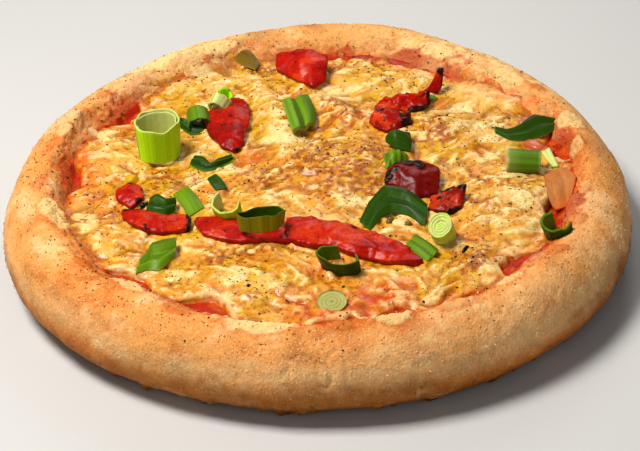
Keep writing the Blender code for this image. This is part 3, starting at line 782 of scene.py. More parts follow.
def mesh_piece(name, points, faces, material, tint=None):
    """A smooth shaded object of these points and rows of face corners, with a colour for each point.

    A fourth part of the colour, where there is one, says how much of the material's flecks show there.
    """
    mesh = bpy.data.meshes.new(name)
    corners = np.concatenate([rows.ravel() for rows in faces]).astype(np.int32)
    sizes = np.concatenate([np.full(len(rows), rows.shape[1]) for rows in faces])
    starts = np.concatenate(([0], np.cumsum(sizes)[:-1])).astype(np.int32)
    mesh.vertices.add(len(points))
    mesh.vertices.foreach_set("co", np.asarray(points, np.float32).ravel())
    mesh.loops.add(len(corners))
    mesh.loops.foreach_set("vertex_index", corners)
    mesh.polygons.add(len(sizes))
    mesh.polygons.foreach_set("loop_start", starts)
    mesh.update(calc_edges=True)
    mesh.shade_smooth()
    if tint is not None:
        layer = mesh.attributes.new("tint", "FLOAT_COLOR", "POINT")
        if tint.shape[1] == 3:
            tint = np.column_stack((tint, np.zeros(len(tint))))
        layer.data.foreach_set("color", np.clip(tint, 0, 1).astype(np.float32).ravel())
    mesh.materials.append(material)
    piece = bpy.data.objects.new(name, mesh)
    bpy.context.scene.collection.objects.link(piece)
    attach(piece, "root")
    return piece


def loft(rows, closed_along=False):
    """The points and faces of closed rows of points joined one to the next.

    The last row joins the first, or else both ends close to a point in the middle of the end row.
    """
    count, around = rows.shape[:2]
    points = rows.reshape(-1, 3)
    index = np.arange(count * around).reshape(count, around)
    upper = np.roll(index, -1, axis=0) if closed_along else index[1:]
    lower = index if closed_along else index[:-1]
    quads = np.stack((lower, np.roll(lower, -1, axis=1), np.roll(upper, -1, axis=1), upper), axis=-1)
    faces = [quads.reshape(-1, 4)]
    if not closed_along:
        ends = np.vstack((rows[0].mean(axis=0), rows[-1].mean(axis=0)))
        first, last = index[0], index[-1]
        start = np.full(around, len(points))
        faces.append(np.column_stack((start, np.roll(first, -1), first)))
        faces.append(np.column_stack((start + 1, last, np.roll(last, -1))))
        points = np.vstack((points, ends))
    return points, faces


def normals_of(grid):
    """Unit normals of a grid of points, from the cross product of its two directions."""
    across = np.cross(np.gradient(grid, axis=0), np.gradient(grid, axis=1))
    return across / np.maximum(np.linalg.norm(across, axis=-1, keepdims=True), 1e-12)


def ring_normals(rows):
    """Unit normals of closed rows of points that lie one above the other."""
    along = np.gradient(rows, axis=0)
    around = np.roll(rows, -1, axis=1) - np.roll(rows, 1, axis=1)
    across = np.cross(around, along)
    return across / np.maximum(np.linalg.norm(across, axis=-1, keepdims=True), 1e-12)


def crowded(count):
    """Shares from 0 to 1 that lie closer together towards both ends."""
    even = np.linspace(0.0, 1.0, count)
    return 0.35 * even + 0.65 * (0.5 - 0.5 * np.cos(math.pi * even))


def pillow(sheet, thickness, rim):
    """The points and faces of a closed body round a sheet of points, with a rounded border.

    Two copies of the sheet share its border. Each stands off it by half the thickness, and within
    the rim's distance of the border that falls to nothing along a quarter circle. The shares along
    and across the sheet are returned too, point by point.
    """
    rows, columns = sheet.shape[:2]
    lengths = np.linalg.norm(np.diff(sheet, axis=0), axis=-1).mean(axis=1)
    widths = np.linalg.norm(np.diff(sheet, axis=1), axis=-1).mean(axis=0)
    along = np.concatenate(([0.0], np.cumsum(lengths)))
    across = np.concatenate(([0.0], np.cumsum(widths)))
    from_end = np.minimum(along, along[-1] - along) / rim
    from_side = np.minimum(across, across[-1] - across) / rim
    rounded = [np.sqrt(np.clip(1 - (1 - np.minimum(d, 1.0)) ** 2, 0, 1)) for d in (from_end, from_side)]
    lift = normals_of(sheet) * (np.outer(*rounded) * thickness / 2)[..., None]
    index = np.arange(rows * columns).reshape(rows, columns)
    under = index + rows * columns
    under[0], under[-1], under[:, 0], under[:, -1] = index[0], index[-1], index[:, 0], index[:, -1]
    quads = [
        np.stack((grid[:-1, :-1], grid[1:, :-1], grid[1:, 1:], grid[:-1, 1:]), axis=-1).reshape(-1, 4)
        for grid in (index, under)
    ]
    faces = np.vstack((quads[0], quads[1][:, ::-1]))
    points = np.concatenate(((sheet + lift).reshape(-1, 3), (sheet - lift).reshape(-1, 3)))
    kept, faces = np.unique(faces, return_inverse=True)
    shares = np.meshgrid(crowded(rows), crowded(columns), indexing="ij")
    u, v = (part.ravel()[kept % (rows * columns)] for part in shares)
    return points[kept], [faces.reshape(-1, 4)], u, v


def fitted(points, node, sunk, ground=True):
    """Points scaled to the node's box and set that many mm into the cheese, or below the node's place."""
    low, high = (np.array(corner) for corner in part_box(node))
    own_low, own_high = points.min(axis=0), points.max(axis=0)
    points = (points - own_low) / (own_high - own_low) * (high - low) + low
    if not ground:
        return points - np.array((0, 0, sunk * MM))
    foot = points[points[:, 2] < low[2] + 0.25 * (high[2] - low[2])]
    under = np.median(cheese_ground(foot[:, 0], foot[:, 1]))
    points[:, 2] += under - sunk * MM - low[2]
    return points


def smooth_route(stops, count):
    """A smooth curve through a few stops, as that many points (Catmull and Rom's rule)."""
    stops = np.array(stops, float)
    padded = np.vstack((2 * stops[0] - stops[1], stops, 2 * stops[-1] - stops[-2]))
    place = np.linspace(0, len(stops) - 1, count)
    first = np.minimum(place.astype(int), len(stops) - 2)
    s = (place - first)[:, None]
    a, b, c, d = (padded[first + k] for k in range(4))
    return 0.5 * (2 * b + (c - a) * s + (2 * a - 5 * b + 4 * c - d) * s**2 + (3 * b - a - 3 * c + d) * s**3)


def ribbon(near, far, bulge, rounding, ragged, seed, straight=0.0, creases=(0, 0.0), shape=(72, 40)):
    """A sheet between a near and a far edge, each a curve through stops in mm of x, y and lift.

    Its corners are rounded by folding the square of shares towards a disc. Each edge lies between the
    smooth curve and straight runs from stop to stop. The sheet stands over the cheese by the edges'
    lift, a bulge in the middle and, where it is creased, ridges that run along it.
    """
    s = (2 * crowded(shape[0]) - 1)[:, None] + np.zeros(shape)
    t = (2 * crowded(shape[1]) - 1)[None, :] + np.zeros(shape)
    u = (1 + s * np.sqrt(1 - rounding * t * t / 2)) / 2
    v = (1 + t * np.sqrt(1 - rounding * s * s / 2)) / 2
    share = np.linspace(0, 1, ROUTE_POINTS)
    edges = []
    for stops in (near, far):
        stops = np.array(stops) * MM
        place = np.linspace(0, len(stops) - 1, ROUTE_POINTS)
        runs = np.stack([np.interp(place, np.arange(len(stops)), stops[:, k]) for k in range(3)], axis=-1)
        curve = smooth_route(stops, ROUTE_POINTS) * (1 - straight) + runs * straight
        edges.append(np.stack([np.interp(u, share, curve[:, k]) for k in range(3)], axis=-1))
    sheet = edges[0] * (1 - v[..., None]) + edges[1] * v[..., None]
    flat = sheet[..., :2].reshape(-1, 2)
    for axis in range(2):
        sheet[..., axis] += ragged * MM * layered(flat, 5 * MM, seed + axis, layers=2).reshape(shape)
    sheet[..., 2] += cheese_ground(sheet[..., 0].ravel(), sheet[..., 1].ravel()).reshape(shape)
    sheet[..., 2] += bulge * MM * (1 - s * s) * (1 - t * t)
    count, depth = creases
    sheet[..., 2] += depth * MM * (1 - np.abs((v * max(count, 1)) % 1.0 * 2 - 1))
    return sheet


def wrinkled(sheet, depth, size, seed, stretch=(1.0, 1.0)):
    """A sheet pushed along its own normals by layered noise of that size."""
    flat = sheet[..., :2].reshape(-1, 2) * np.array(stretch)
    push = depth * MM * layered(flat, size * MM, seed).reshape(sheet.shape[:2])
    return sheet + normals_of(sheet) * push[..., None]


def node_material(name):
    """A new material with its shader, links and nodes at hand."""
    material = bpy.data.materials.new(name)
    material.use_nodes = True
    tree = material.node_tree
    return material, tree.nodes, tree.links, tree.nodes["Principled BSDF"]


def add_noise(nodes, links, scale, detail=4.0, roughness=0.6):
    """A noise texture on Object coordinates. Its scale is in cells to the metre."""
    place = nodes.get("Place") or nodes.new("ShaderNodeTexCoord")
    place.name = "Place"
    texture = nodes.new("ShaderNodeTexNoise")
    texture.inputs["Scale"].default_value = scale
    texture.inputs["Detail"].default_value = detail
    texture.inputs["Roughness"].default_value = roughness
    links.new(place.outputs["Object"], texture.inputs["Vector"])
    return texture.outputs["Fac"]


def add_range(nodes, links, value, low, high, to_low, to_high):
    """A value carried from one range to another."""
    step = nodes.new("ShaderNodeMapRange")
    for name, number in (("From Min", low), ("From Max", high), ("To Min", to_low), ("To Max", to_high)):
        step.inputs[name].default_value = number
    links.new(value, step.inputs["Value"])
    return step.outputs["Result"]


def add_tint(nodes, links, value, strength, flecks):
    """The piece's tint, made darker and lighter by a value round one half, with flecks of another colour.

    Flecks are the spots where a noise of their own is high. The tint's alpha says how many show.
    """
    tint = nodes.new("ShaderNodeAttribute")
    tint.attribute_name = "tint"
    shade = add_range(nodes, links, value, 0.3, 0.7, 1 - strength, 1 + strength)
    scaled = nodes.new("ShaderNodeVectorMath")
    scaled.operation = "SCALE"
    links.new(tint.outputs["Color"], scaled.inputs[0])
    links.new(shade, scaled.inputs["Scale"])
    if flecks is None:
        return scaled.outputs["Vector"]
    colour, scale, rarity = flecks
    spots = add_range(nodes, links, add_noise(nodes, links, scale, 2.0, 0.5), rarity, rarity + 0.07, 0.0, 1.0)
    shown = nodes.new("ShaderNodeMath")
    shown.operation = "MULTIPLY"
    links.new(spots, shown.inputs[0])
    links.new(tint.outputs["Alpha"], shown.inputs[1])
    blend = nodes.new("ShaderNodeMix")
    blend.data_type = "RGBA"
    links.new(shown.outputs["Value"], blend.inputs["Factor"])
    links.new(scaled.outputs["Vector"], blend.inputs["A"])
    blend.inputs["B"].default_value = (*colour[:], 1.0)
    return blend.outputs["Result"]


def add_bump(nodes, links, heights, shader):
    """Bumps from several heights, each with its depth in metres, one after the other."""
    normal = None
    for height, depth in heights:
        bump = nodes.new("ShaderNodeBump")
        bump.inputs["Distance"].default_value = depth
        bump.inputs["Strength"].default_value = 1.0
        links.new(height, bump.inputs["Height"])
        if normal is not None:
            links.new(normal, bump.inputs["Normal"])
        normal = bump.outputs["Normal"]
    links.new(normal, shader.inputs["Normal"])


def surface(name, colours):
    """A finish on the piece's tint: fine shading, flecks, uneven gloss, bumps, a wet coat and soft light."""
    finish = {**PLAIN_FINISH, **FINISHES[name]}
    material, nodes, links, shader = node_material(name)
    flecks = finish["flecks"]
    if flecks is not None:
        flecks = (getattr(colours, flecks[0]), *flecks[1:])
    fine = add_noise(nodes, links, finish["grain"])
    links.new(add_tint(nodes, links, fine, finish["shade"], flecks), shader.inputs["Base Color"])
    uneven = add_noise(nodes, links, finish["grain"] * 0.4, 3.0)
    links.new(add_range(nodes, links, uneven, 0.3, 0.7, *finish["gloss"]), shader.inputs["Roughness"])
    heights = [(add_noise(nodes, links, scale, 3.0), depth * MM) for scale, depth in finish["bumps"]]
    add_bump(nodes, links, heights, shader)
    shader.inputs["Specular IOR Level"].default_value = finish["shine"]
    shader.inputs["Coat Weight"].default_value = finish["coat"]
    shader.inputs["Coat Roughness"].default_value = finish["coat_roughness"]
    shader.inputs["Subsurface Weight"].default_value = finish["soft"]
    shader.inputs["Subsurface Radius"].default_value = SOFT_SPREAD
    shader.inputs["Subsurface Scale"].default_value = SOFT_REACH
    return material


def crust_rows(sizes):
    """The dough's surface as rows of points from the foot, over the rim, down into the well.

    The foot is flat. The side is a quarter ellipse out to the belly and one more in to the crest, and
    the inner slope runs through the well's steps.
    """
    angle = np.arange(CRUST_DIRECTIONS) * 2 * math.pi / CRUST_DIRECTIONS
    outer, height, well = outline_radius(angle), rim_height(angle), well_radius(angle)
    belly = BELLY_SHARE * height
    under = np.linspace(0, math.pi / 2, 26)[:, None]
    over = np.linspace(0, math.pi / 2, 42)[1:, None]
    radius = [outer - FOOT_INSET * (1 - np.sin(under)), outer - CREST_INSET * (1 - np.cos(over))]
    level = [belly * (1 - np.cos(under)), belly + (height - belly) * np.sin(over)]
    crest = outer - CREST_INSET - well
    share = np.linspace(0, 1, 42)[1:, None]
    inwards = crest * (1 - share) + WELL_STEPS[0] * share
    steps = np.append(WELL_STEPS, 9.5 * MM)
    heights = np.append(WELL_HEIGHTS, RIM_HEIGHT)
    inner = np.interp(inwards * 9.5 * MM / crest * (inwards > 0) + inwards * (inwards <= 0), steps, heights)
    inner += (height - RIM_HEIGHT) * smooth(0.0, 9.5 * MM, inwards)
    radius.append(well + inwards)
    level.append(inner)
    radius, level = np.vstack(radius), np.vstack(level)
    for _ in range(3):
        level[26:-1] = 0.25 * level[25:-2] + 0.5 * level[26:-1] + 0.25 * level[27:]
    x = CENTRE[0] + radius * np.cos(angle)
    y = CENTRE[1] + radius * np.sin(angle)
    around, distance = polar(x, y)
    raised = blisters(x, y) * smooth(0.0, 4.0 * MM, distance - well_radius(around))
    rows = np.stack((x, y, level + raised * (np.arange(len(level)) > 45)[:, None]), axis=-1)
    return roughened(rows, sizes)


def roughened(rows, sizes):
    """The dough's rows pushed along their normals by lumps, pores, cracks and a flaky lower edge."""
    flat = rows.reshape(-1, 3)
    shape = rows.shape[:2]
    x, y, z = rows[..., 0], rows[..., 1], rows[..., 2]
    lumps = layered(flat, 22 * MM, 31, layers=4).reshape(shape)
    pits = noise(flat @ LAYER_TIP, 2.6 * MM, 37).reshape(shape)
    angle, distance = polar(x, y)
    slope = distance - well_radius(angle)
    knobs = np.abs(layered(flat, 6 * MM, 43, layers=3)).reshape(shape)
    knobs = knobs * np.exp(-(((slope - 4.5 * MM) / (4.5 * MM)) ** 2))
    edge = np.exp(-(((z - 3.0 * MM) / (2.4 * MM)) ** 2)) * (distance > WELL_RADIUS)
    flakes = layered(flat * np.array((1.0, 1.0, 0.6)), 5 * MM, 53, layers=3).reshape(shape)
    flakes = np.maximum(flakes - 0.02, 0.0)
    push = sizes.crust_lumps * lumps + sizes.crust_pores * pits
    push += sizes.crust_flakes * flakes * edge + 2.6 * MM * knobs
    strings = np.abs(noise(flat, 2.4 * MM, 303)).reshape(shape)
    within = distance < outline_radius(angle) - 8 * MM
    push += MM * lip_melts(x, y)[0] * (0.3 + 0.7 * strings) * within
    push -= 0.7 * MM * cracks(flat).reshape(shape) * smooth(6.0 * MM, 12.0 * MM, slope)
    push *= smooth(0.0, 2.5 * MM, z) * smooth(-6.0 * MM, -3.0 * MM, slope)
    moved = rows + ring_normals(rows) * push[..., None]
    moved[..., 2] = np.maximum(moved[..., 2], 0.0)
    moved[0, :, 2] = 0.0
    return moved


def cracks(points):
    """Thin branching lines in the dough, 1 along the middle: where slow noise passes through nothing."""
    line = np.abs(layered(points * np.array((1.0, 1.0, 0.45)), 17 * MM, 59, layers=3))
    return smooth(0.035, 0.0, line) * smooth(0.05, 0.35, noise(points, 38 * MM, 60))


def crust_tint(rows, colours):
    """The dough's colours: golden above, pale round its shoulder, brown below as real browning and partly
    painted shade, stained on its inner slope.
    """
    flat = rows.reshape(-1, 3)
    x, y, z = flat.T
    angle, distance = polar(x, y)
    slope = distance - well_radius(angle)
    outside = smooth(-6 * MM, 8 * MM, distance - outline_radius(angle) + CREST_INSET)
    broad = layered(flat, 34 * MM, 61)
    blotch = layered(flat, 12 * MM, 67)
    grain = layered(flat, 3.0 * MM, 71, layers=3)
    around = np.column_stack((np.cos(angle), np.sin(angle))) * WELL_RADIUS / 3.2
    streak = layered(np.column_stack((around, 1.2 * slope - z)), 8 * MM, 75)
    front, right = facing(angle, 280, 70), facing(angle, 335, 60)

    # The top of the rim: toasted and pale blotches, and creamy places behind.
    tint = filled(colours.crust_golden, len(flat))
    pale = smooth(-0.05, 0.45, -0.9 * blotch - 0.5 * streak + 0.3 * grain)
    tint = mixed(tint, colours.crust_pale, 0.85 * pale)
    toasted = smooth(0.0, 0.45, 0.8 * blotch + 0.5 * broad + 0.4 * streak)
    tint = mixed(tint, colours.crust_toasted, 0.85 * toasted)
    creamy = facing(angle, 50, 26) + 1.2 * facing(angle, 124, 19)
    creamy = creamy * smooth(26 * MM, 14 * MM, slope + 8.0 * blotch * MM)
    tint = mixed(tint, colours.cheese_pale, 0.75 * creamy * smooth(-0.45, 0.1, grain + blotch + 0.1))

    # The side: a pale band and floury places over a brown and then a baked lower edge, which are real
    # browning and partly painted shade.
    band = np.exp(-(((z - (21.5 + 5.0 * broad) * MM) / (4.5 * MM)) ** 2)) * outside
    band = band * (0.15 + 0.45 * front + 0.9 * blotch + 0.5 * streak + 0.3 * grain)
    tint = mixed(tint, colours.crust_pale, band)
    floury = right * smooth(-0.15, 0.4, broad + 0.6 * blotch + 0.5 * streak) * smooth(5 * MM, 20 * MM, slope)
    tint = mixed(tint, colours.crust_pale, 0.7 * floury * smooth(11 * MM, 19 * MM, z))
    uneven = (5.0 * broad + 6.0 * blotch + 3.0 * grain + 4.0 * streak) * MM
    low = smooth(23 * MM, 10 * MM, z + uneven) * outside
    # Here and for the baked edge below, stronger on the right side: painted shade where the light falls off.
    tint = mixed(tint, colours.crust_brown, (0.75 + 0.25 * right) * low)
    baked = smooth(13 * MM, 2 * MM, z + (3.0 * blotch + 3.0 * grain) * MM) * outside
    tint = mixed(tint, colours.crust_baked_and_shaded, (0.75 + 0.25 * right) * baked)
    ashen = smooth(0.15, 0.5, streak - 0.4 * broad + 0.4 * grain) * smooth(12 * MM, 5 * MM, z) * outside
    tint = mixed(tint, colours.crust_pale, 0.30 * ashen)
    shade = 0.16 * smooth(-0.5, 0.5, streak) - 0.22 * smooth(-0.1, 0.6, blotch + 0.4 * grain)
    tint = tint * (1 + shade)[:, None]
    tint = mixed(tint, colours.crust_pale, 0.9 * smooth(0.4 * MM, 1.8 * MM, blisters(x, y)))

    # The inner slope: oil and sauce, most of it where the sauce shows, and melted cheese on the lip.
    stain = smooth(13 * MM, 3 * MM, slope + (10.0 * blotch + 6.0 * grain) * MM)
    sides = smooth(0.2, 0.8, np.abs(np.cos(angle)))
    tint = mixed(tint, colours.oil_stain, (0.30 + 0.20 * sides) * stain * smooth(-0.5, 0.4, grain + blotch))
    gaps = np.zeros(len(flat))
    for direction, half_angle, _ in SAUCE_GAPS:
        gaps = np.maximum(gaps, facing(angle, direction, half_angle * 1.7))
    red = smooth(4.5 * MM, 0.0, slope + (8.0 * blotch + 7.0 * grain - 3.0 * gaps) * MM)
    tint = mixed(tint, colours.sauce_red, red * (0.06 + 0.75 * gaps))
    smear = smooth(0.22, 0.5, layered(flat * np.array((1.0, 1.0, 0.5)), 7 * MM, 77))
    tint = mixed(tint, colours.oil_stain, 0.6 * smear * smooth(17 * MM, 5 * MM, slope))
    melt, orange = lip_melts(x, y)
    string = noise(flat, 2.4 * MM, 303)
    tint = mixed(tint, colours.oil_stain, 0.4 * smooth(0.0, 0.3, melt))
    melted = mixed(filled(colours.cheese_pale, len(flat)), colours.cheese_toasted, orange)
    between = smooth(0.35, 0.0, np.abs(string)) * (0.3 + 0.7 * orange)
    melted = mixed(melted, colours.oil_stain, 0.6 * between)
    tint = tint + (melted - tint) * (0.75 * smooth(0.35, 0.95, melt))[:, None]

    toast = smooth(0.20, 0.5, layered(flat, 6 * MM, 73)) * smooth(20 * MM, 29 * MM, z)
    tint = mixed(tint, colours.crust_toasted, 0.6 * toast * (1 - melt))
    tint = mixed(tint, colours.crust_pale, 0.35 * cracks(flat) * outside)
    tint = tint * (1 + 0.12 * grain)[:, None]
    crumbs = smooth(2 * MM, 10 * MM, slope) * smooth(12 * MM, 26 * MM, z)
    crumbs = crumbs * (0.25 + 0.20 * front + 0.5 * blotch)
    return np.column_stack((tint, np.clip(crumbs + 0.10, 0, 1) * (1 - 0.7 * melt)))


def make_crust(sizes, colours):
    """The dough: a round puffy rim over a flat foot, with a well for the topping."""
    rows = crust_rows(sizes)
    points, faces = loft(rows)
    tint = crust_tint(rows, colours)
    tint = np.vstack((tint, tint[:1], tint[-1:]))
    crust = mesh_piece("dough", points, faces, surface("baked_dough", colours), tint)
    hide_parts("crust")
    return rows, tint[:-2, :3].reshape(rows.shape)


def small_bodies(ring, top, foot):
    """The points and faces of many small bodies, each a ring closed by a point above and one below."""
    count, sides = ring.shape[:2]
    points = np.concatenate((ring, top[:, None], foot[:, None]), axis=1)
    first = np.arange(sides)
    following = (first + 1) % sides
    cap = np.column_stack((first, following, np.full(sides, sides)))
    base = np.column_stack((following, first, np.full(sides, sides + 1)))
    faces = np.vstack((cap, base))[None] + (sides + 2) * np.arange(count)[:, None, None]
    return points.reshape(-1, 3), [faces.reshape(-1, 3)]


def make_grains(rows, tints, sizes, colours):
    """Fine pale blisters and crumbs on the rim, each a low six sided dome, in patches."""
    chance = np.random.default_rng(GRAIN_SEED)
    count = sizes.grain_count
    rank = chance.integers(*GRAIN_ROWS, count)
    around = chance.integers(0, CRUST_DIRECTIONS, count)
    normal = ring_normals(rows)[rank, around]
    middle = rows[rank, around] + 0.5 * MM * chance.uniform(-1, 1, (count, 3))
    keep = noise(middle, 16 * MM, 19) + 0.8 * noise(middle, 5 * MM, 23) > chance.uniform(-0.9, 0.7, count)
    middle, normal, rank, around = middle[keep], normal[keep], rank[keep], around[keep]
    count = len(middle)
    size = chance.uniform(0.16, 0.42, count) * MM
    side = np.cross(normal, (0.0, 0.0, 1.0)) + 1e-6
    side /= np.linalg.norm(side, axis=1)[:, None]
    other = np.cross(normal, side)
    turn = np.arange(6) * math.pi / 3
    ring = np.cos(turn)[None, :, None] * side[:, None] + np.sin(turn)[None, :, None] * other[:, None]
    ring = middle[:, None] + ring * size[:, None, None] - normal[:, None] * (size * 0.3)[:, None, None]
    height = normal * (size * 0.6)[:, None]
    points, faces = small_bodies(ring, middle + height, middle - height)
    shade = np.repeat(chance.uniform(0.75, 1.15, count), 8)[:, None]
    tint = np.clip(np.repeat(tints[rank, around], 8, axis=0) * 1.25 * shade, 0, 1)
    grains = mesh_piece("dough_grains", points, faces, surface("crust_grain", colours), tint)


def make_sauce(colours):
    """The tomato sauce: a wet lumpy layer drawn up the rim's inner slope.

    Its upper surface is the dough's height plus a thickness that falls to nothing at its ragged edge.
    """
    angle = np.arange(SAUCE_DIRECTIONS) * 2 * math.pi / SAUCE_DIRECTIONS
    circle = np.column_stack((np.cos(angle), np.sin(angle))) * WELL_RADIUS
    edge = well_radius(angle) + (1.8 + 1.8 * layered(circle, 12 * MM, 81)) * MM
    share = np.linspace(0, 1, SAUCE_ROWS)[:, None]
    radius = SAUCE_INNER + (edge - SAUCE_INNER) * share
    x = CENTRE[0] + radius * np.cos(angle)
    y = CENTRE[1] + radius * np.sin(angle)
    flat = np.column_stack((x.ravel(), y.ravel()))
    lumps = layered(flat, 5 * MM, 83).reshape(x.shape)
    body = np.sqrt(np.clip(1 - smooth(edge - 3.5 * MM, edge, radius) ** 2, 0, 1))
    upper = np.maximum(dough_level(x, y) + 0.9 * MM * body, SAUCE_LEVEL * (radius < edge - 4 * MM))
    upper = upper + 1.0 * MM * lumps * body
    lower = dough_level(x, y) - 0.25 * MM
    top = np.stack((x, y, upper), axis=-1)
    bottom = np.stack((x, y, np.minimum(lower, upper - 0.05 * MM)), axis=-1)
    rows = np.concatenate((bottom, top[::-1][1:]))
    points, faces = loft(rows)
    flat = rows.reshape(-1, 3)
    tint = filled(colours.sauce_red, len(flat))
    tint = mixed(tint, colours.sauce_dark, smooth(0.0, 0.5, layered(flat, 6 * MM, 87)))
    tint = mixed(tint, colours.oil_stain, 0.75 * smooth(0.0, 0.5, layered(flat, 4 * MM, 89)))
    tint = mixed(tint, colours.cheese_amber, 0.6 * smooth(0.1, 0.5, layered(flat, 2.6 * MM, 91, layers=3)))
    tint = np.vstack((tint, tint[:1], tint[-1:]))
    sauce = mesh_piece("sauce_layer", points, faces, surface("tomato_sauce", colours), tint)
    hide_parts("sauce")


def field_size():
    """How many cells a square field has along a side."""
    return int(round(2 * FIELD_REACH / FIELD_CELL))


def sampled(field, x, y):
    """The value of a square field of cells at these places, blended between the nearest four."""
    column = np.clip((x + FIELD_REACH) / FIELD_CELL, 0, field.shape[1] - 1.001)
    row = np.clip((y + FIELD_REACH) / FIELD_CELL, 0, field.shape[0] - 1.001)
    c, r = column.astype(int), row.astype(int)
    s, t = column - c, row - r
    lower = field[r, c] * (1 - s) + field[r, c + 1] * s
    upper = field[r + 1, c] * (1 - s) + field[r + 1, c + 1] * s
    return lower * (1 - t) + upper * t


def softened(field, reach):
    """A field blurred by a bell curve of that reach in metres, by Fourier transform."""
    waves = np.fft.fftfreq(field.shape[0], FIELD_CELL)
    bell = np.exp(-2 * (math.pi * reach) ** 2 * (waves[:, None] ** 2 + waves[None, :] ** 2))
    return np.real(np.fft.ifft2(np.fft.fft2(field) * bell))


def field_cells(x, y):
    """The row and column of the field's cell nearest to each place."""
    return (np.round((part + FIELD_REACH) / FIELD_CELL).astype(int) for part in (y, x))


def shred_field(sizes):
    """Melted shreds as a height field: bent ridges, each a row of bell curves, the highest one showing."""
    chance = np.random.default_rng(SHRED_SEED)
    count = sizes.shred_count
    middle = chance.uniform(-108, 108, (count, 2)) * MM
    lean = 1.6 * noise(middle, 34 * MM, 91) + chance.normal(0.25, 0.50, count)
    length = chance.uniform(7, 22, count) * MM
    bend = chance.normal(0, 36, count)
    along = np.linspace(-0.5, 0.5, 40)[None, :] * length[:, None]
    heading = lean[:, None] + bend[:, None] * along
    x = middle[:, :1] + along * np.cos(heading)
    y = middle[:, 1:] + along * np.sin(heading)
    width = chance.uniform(0.6, 1.8, count)[:, None] * MM
    height = chance.uniform(0.45, 1.0, count)[:, None] * np.sqrt(1 - (2 * along / length[:, None]) ** 2)
    field = np.zeros((field_size(), field_size()))
    near_row, near_column = field_cells(x, y)
    for row_step, column_step in itertools.product(range(-8, 9), repeat=2):
        column = near_column + column_step
        row = near_row + row_step
        away = np.hypot(column * FIELD_CELL - FIELD_REACH - x, row * FIELD_CELL - FIELD_REACH - y)
        inside = (column >= 0) & (row >= 0) & (column < len(field)) & (row < len(field))
        value = (height * np.exp(-((away / width) ** 2)))[inside]
        np.maximum.at(field, (row[inside], column[inside]), value)
    return softened(field, 0.25 * MM)


def underside_field(pieces):
    """The lowest height of the toppings over each cell, or a large number where there are none."""
    lowest = np.full((field_size(), field_size()), 1.0)
    for piece in pieces:
        points = np.empty(3 * len(piece.data.vertices), np.float32)
        piece.data.vertices.foreach_get("co", points)
        x, y, z = points.reshape(-1, 3).astype(float).T
        row, column = field_cells(x, y)
        for row_step, column_step in itertools.product((-1, 0, 1), repeat=2):
            np.minimum.at(lowest, (row + row_step, column + column_step), z)
    return lowest


def disc_grid(cells):
    """A square grid folded onto a disc: the share of the radius and the angle of each grid point."""
    side = np.linspace(-1, 1, cells + 1)
    a, b = np.meshgrid(side, side, indexing="ij")
    wide = np.abs(a) > np.abs(b)
    share = np.where(wide, a, b)
    other = np.where(wide, b, a)
    ratio = other / np.where(share == 0, 1, share)
    angle = np.where(wide, ratio * math.pi / 4, math.pi / 2 - ratio * math.pi / 4)
    angle = np.where(share < 0, angle + math.pi, angle)
    return np.abs(share), angle


def calm_cheese(x, y):
    """1 where the cheese has flowed out into a smooth pale pool, and 0 where it is shredded or toasted."""
    flat = np.column_stack((x, y))
    pooled = 0.8 * layered(flat, 13 * MM, 121) + 0.45 * patches(x, y, PALE_PATCHES)
    return smooth(0.06, 0.40, pooled - 0.5 * patches(x, y, TOASTED_PATCHES))


class CheeseRelief:
    """The cheese's upper surface: broad mounds, melted shreds, bubbles, and a rise round each topping."""

    def __init__(self, sizes, toppings):
        self.sizes = sizes
        self.shreds = shred_field(sizes)
        side = np.arange(field_size()) * FIELD_CELL - FIELD_REACH
        x, y = np.meshgrid(side, side)
        bare = self.bare(x.ravel(), y.ravel()).reshape(x.shape)
        self.crest = np.clip((bare - softened(bare, 1.8 * MM)) / (0.5 * MM), -1.5, 1.5)
        self.ridge = np.clip((bare - softened(bare, 4.0 * MM)) / (0.9 * MM), -1.5, 1.5)
        gap = underside_field(toppings) - bare
        rise = (np.clip(gap, -0.4 * MM, 1.0 * MM) + 0.30 * MM) * smooth(1.5 * MM, 0.8 * MM, gap)
        self.rise = np.maximum(softened(np.maximum(rise, 0.0), 0.45 * MM), 0.0)

    def shredded(self, x, y):
        """How strongly shreds show at a place, from 0 to 1."""
        flat = np.column_stack((x, y))
        strength = 0.55 + 0.5 * noise(flat, 26 * MM, 97)
        strength = strength + 0.5 * oval(x, y, -26, -78, 40, 18, 8) + 0.5 * oval(x, y, 76, -34, 24, 20, 70)
        return np.clip(strength, 0.25, 1.0) * (1 - 0.75 * calm_cheese(x, y))

    def bare(self, x, y):
        """The surface before it rises to the toppings."""
        flat = np.column_stack((x, y))
        angle, distance = polar(x, y)
        inset = cheese_reach(angle) - distance
        body = np.sqrt(np.clip(1 - (1 - np.clip(inset / (3.0 * MM), 0, 1)) ** 2, 0, 1))
        level = cheese_ground(x, y)
        calm = calm_cheese(x, y)
        level = level + 2.0 * MM * (1 - 0.4 * calm) * (billows(flat, 9 * MM, 102) - 0.25)
        level = level + 0.40 * MM * (1 - 0.9 * calm) * (billows(flat, 3.6 * MM, 106) - 0.25)
        level = level + self.sizes.shred_height * self.shredded(x, y) * sampled(self.shreds, x, y)
        toast = patches(x, y, TOASTED_PATCHES)
        level = level + (0.05 + 0.20 * toast) * MM * layered(flat, 2.2 * MM, 103, layers=2)
        dough = dough_level(x, y)
        on_slope = dough + 0.4 * MM + 0.6 * MM * layered(flat, 5 * MM, 107)
        highest = np.maximum(level, on_slope)
        blend = 0.7 * MM
        either = np.exp((level - highest) / blend) + np.exp((on_slope - highest) / blend)
        level = highest + blend * np.log(either)
        edge = np.maximum(dough, SAUCE_LEVEL * (inset > -6 * MM) - 0.4 * MM) + 0.1 * MM
        return edge + (level - edge) * body

    def height(self, x, y):
        """The finished surface."""
        return self.bare(x, y) + sampled(self.rise, x, y)


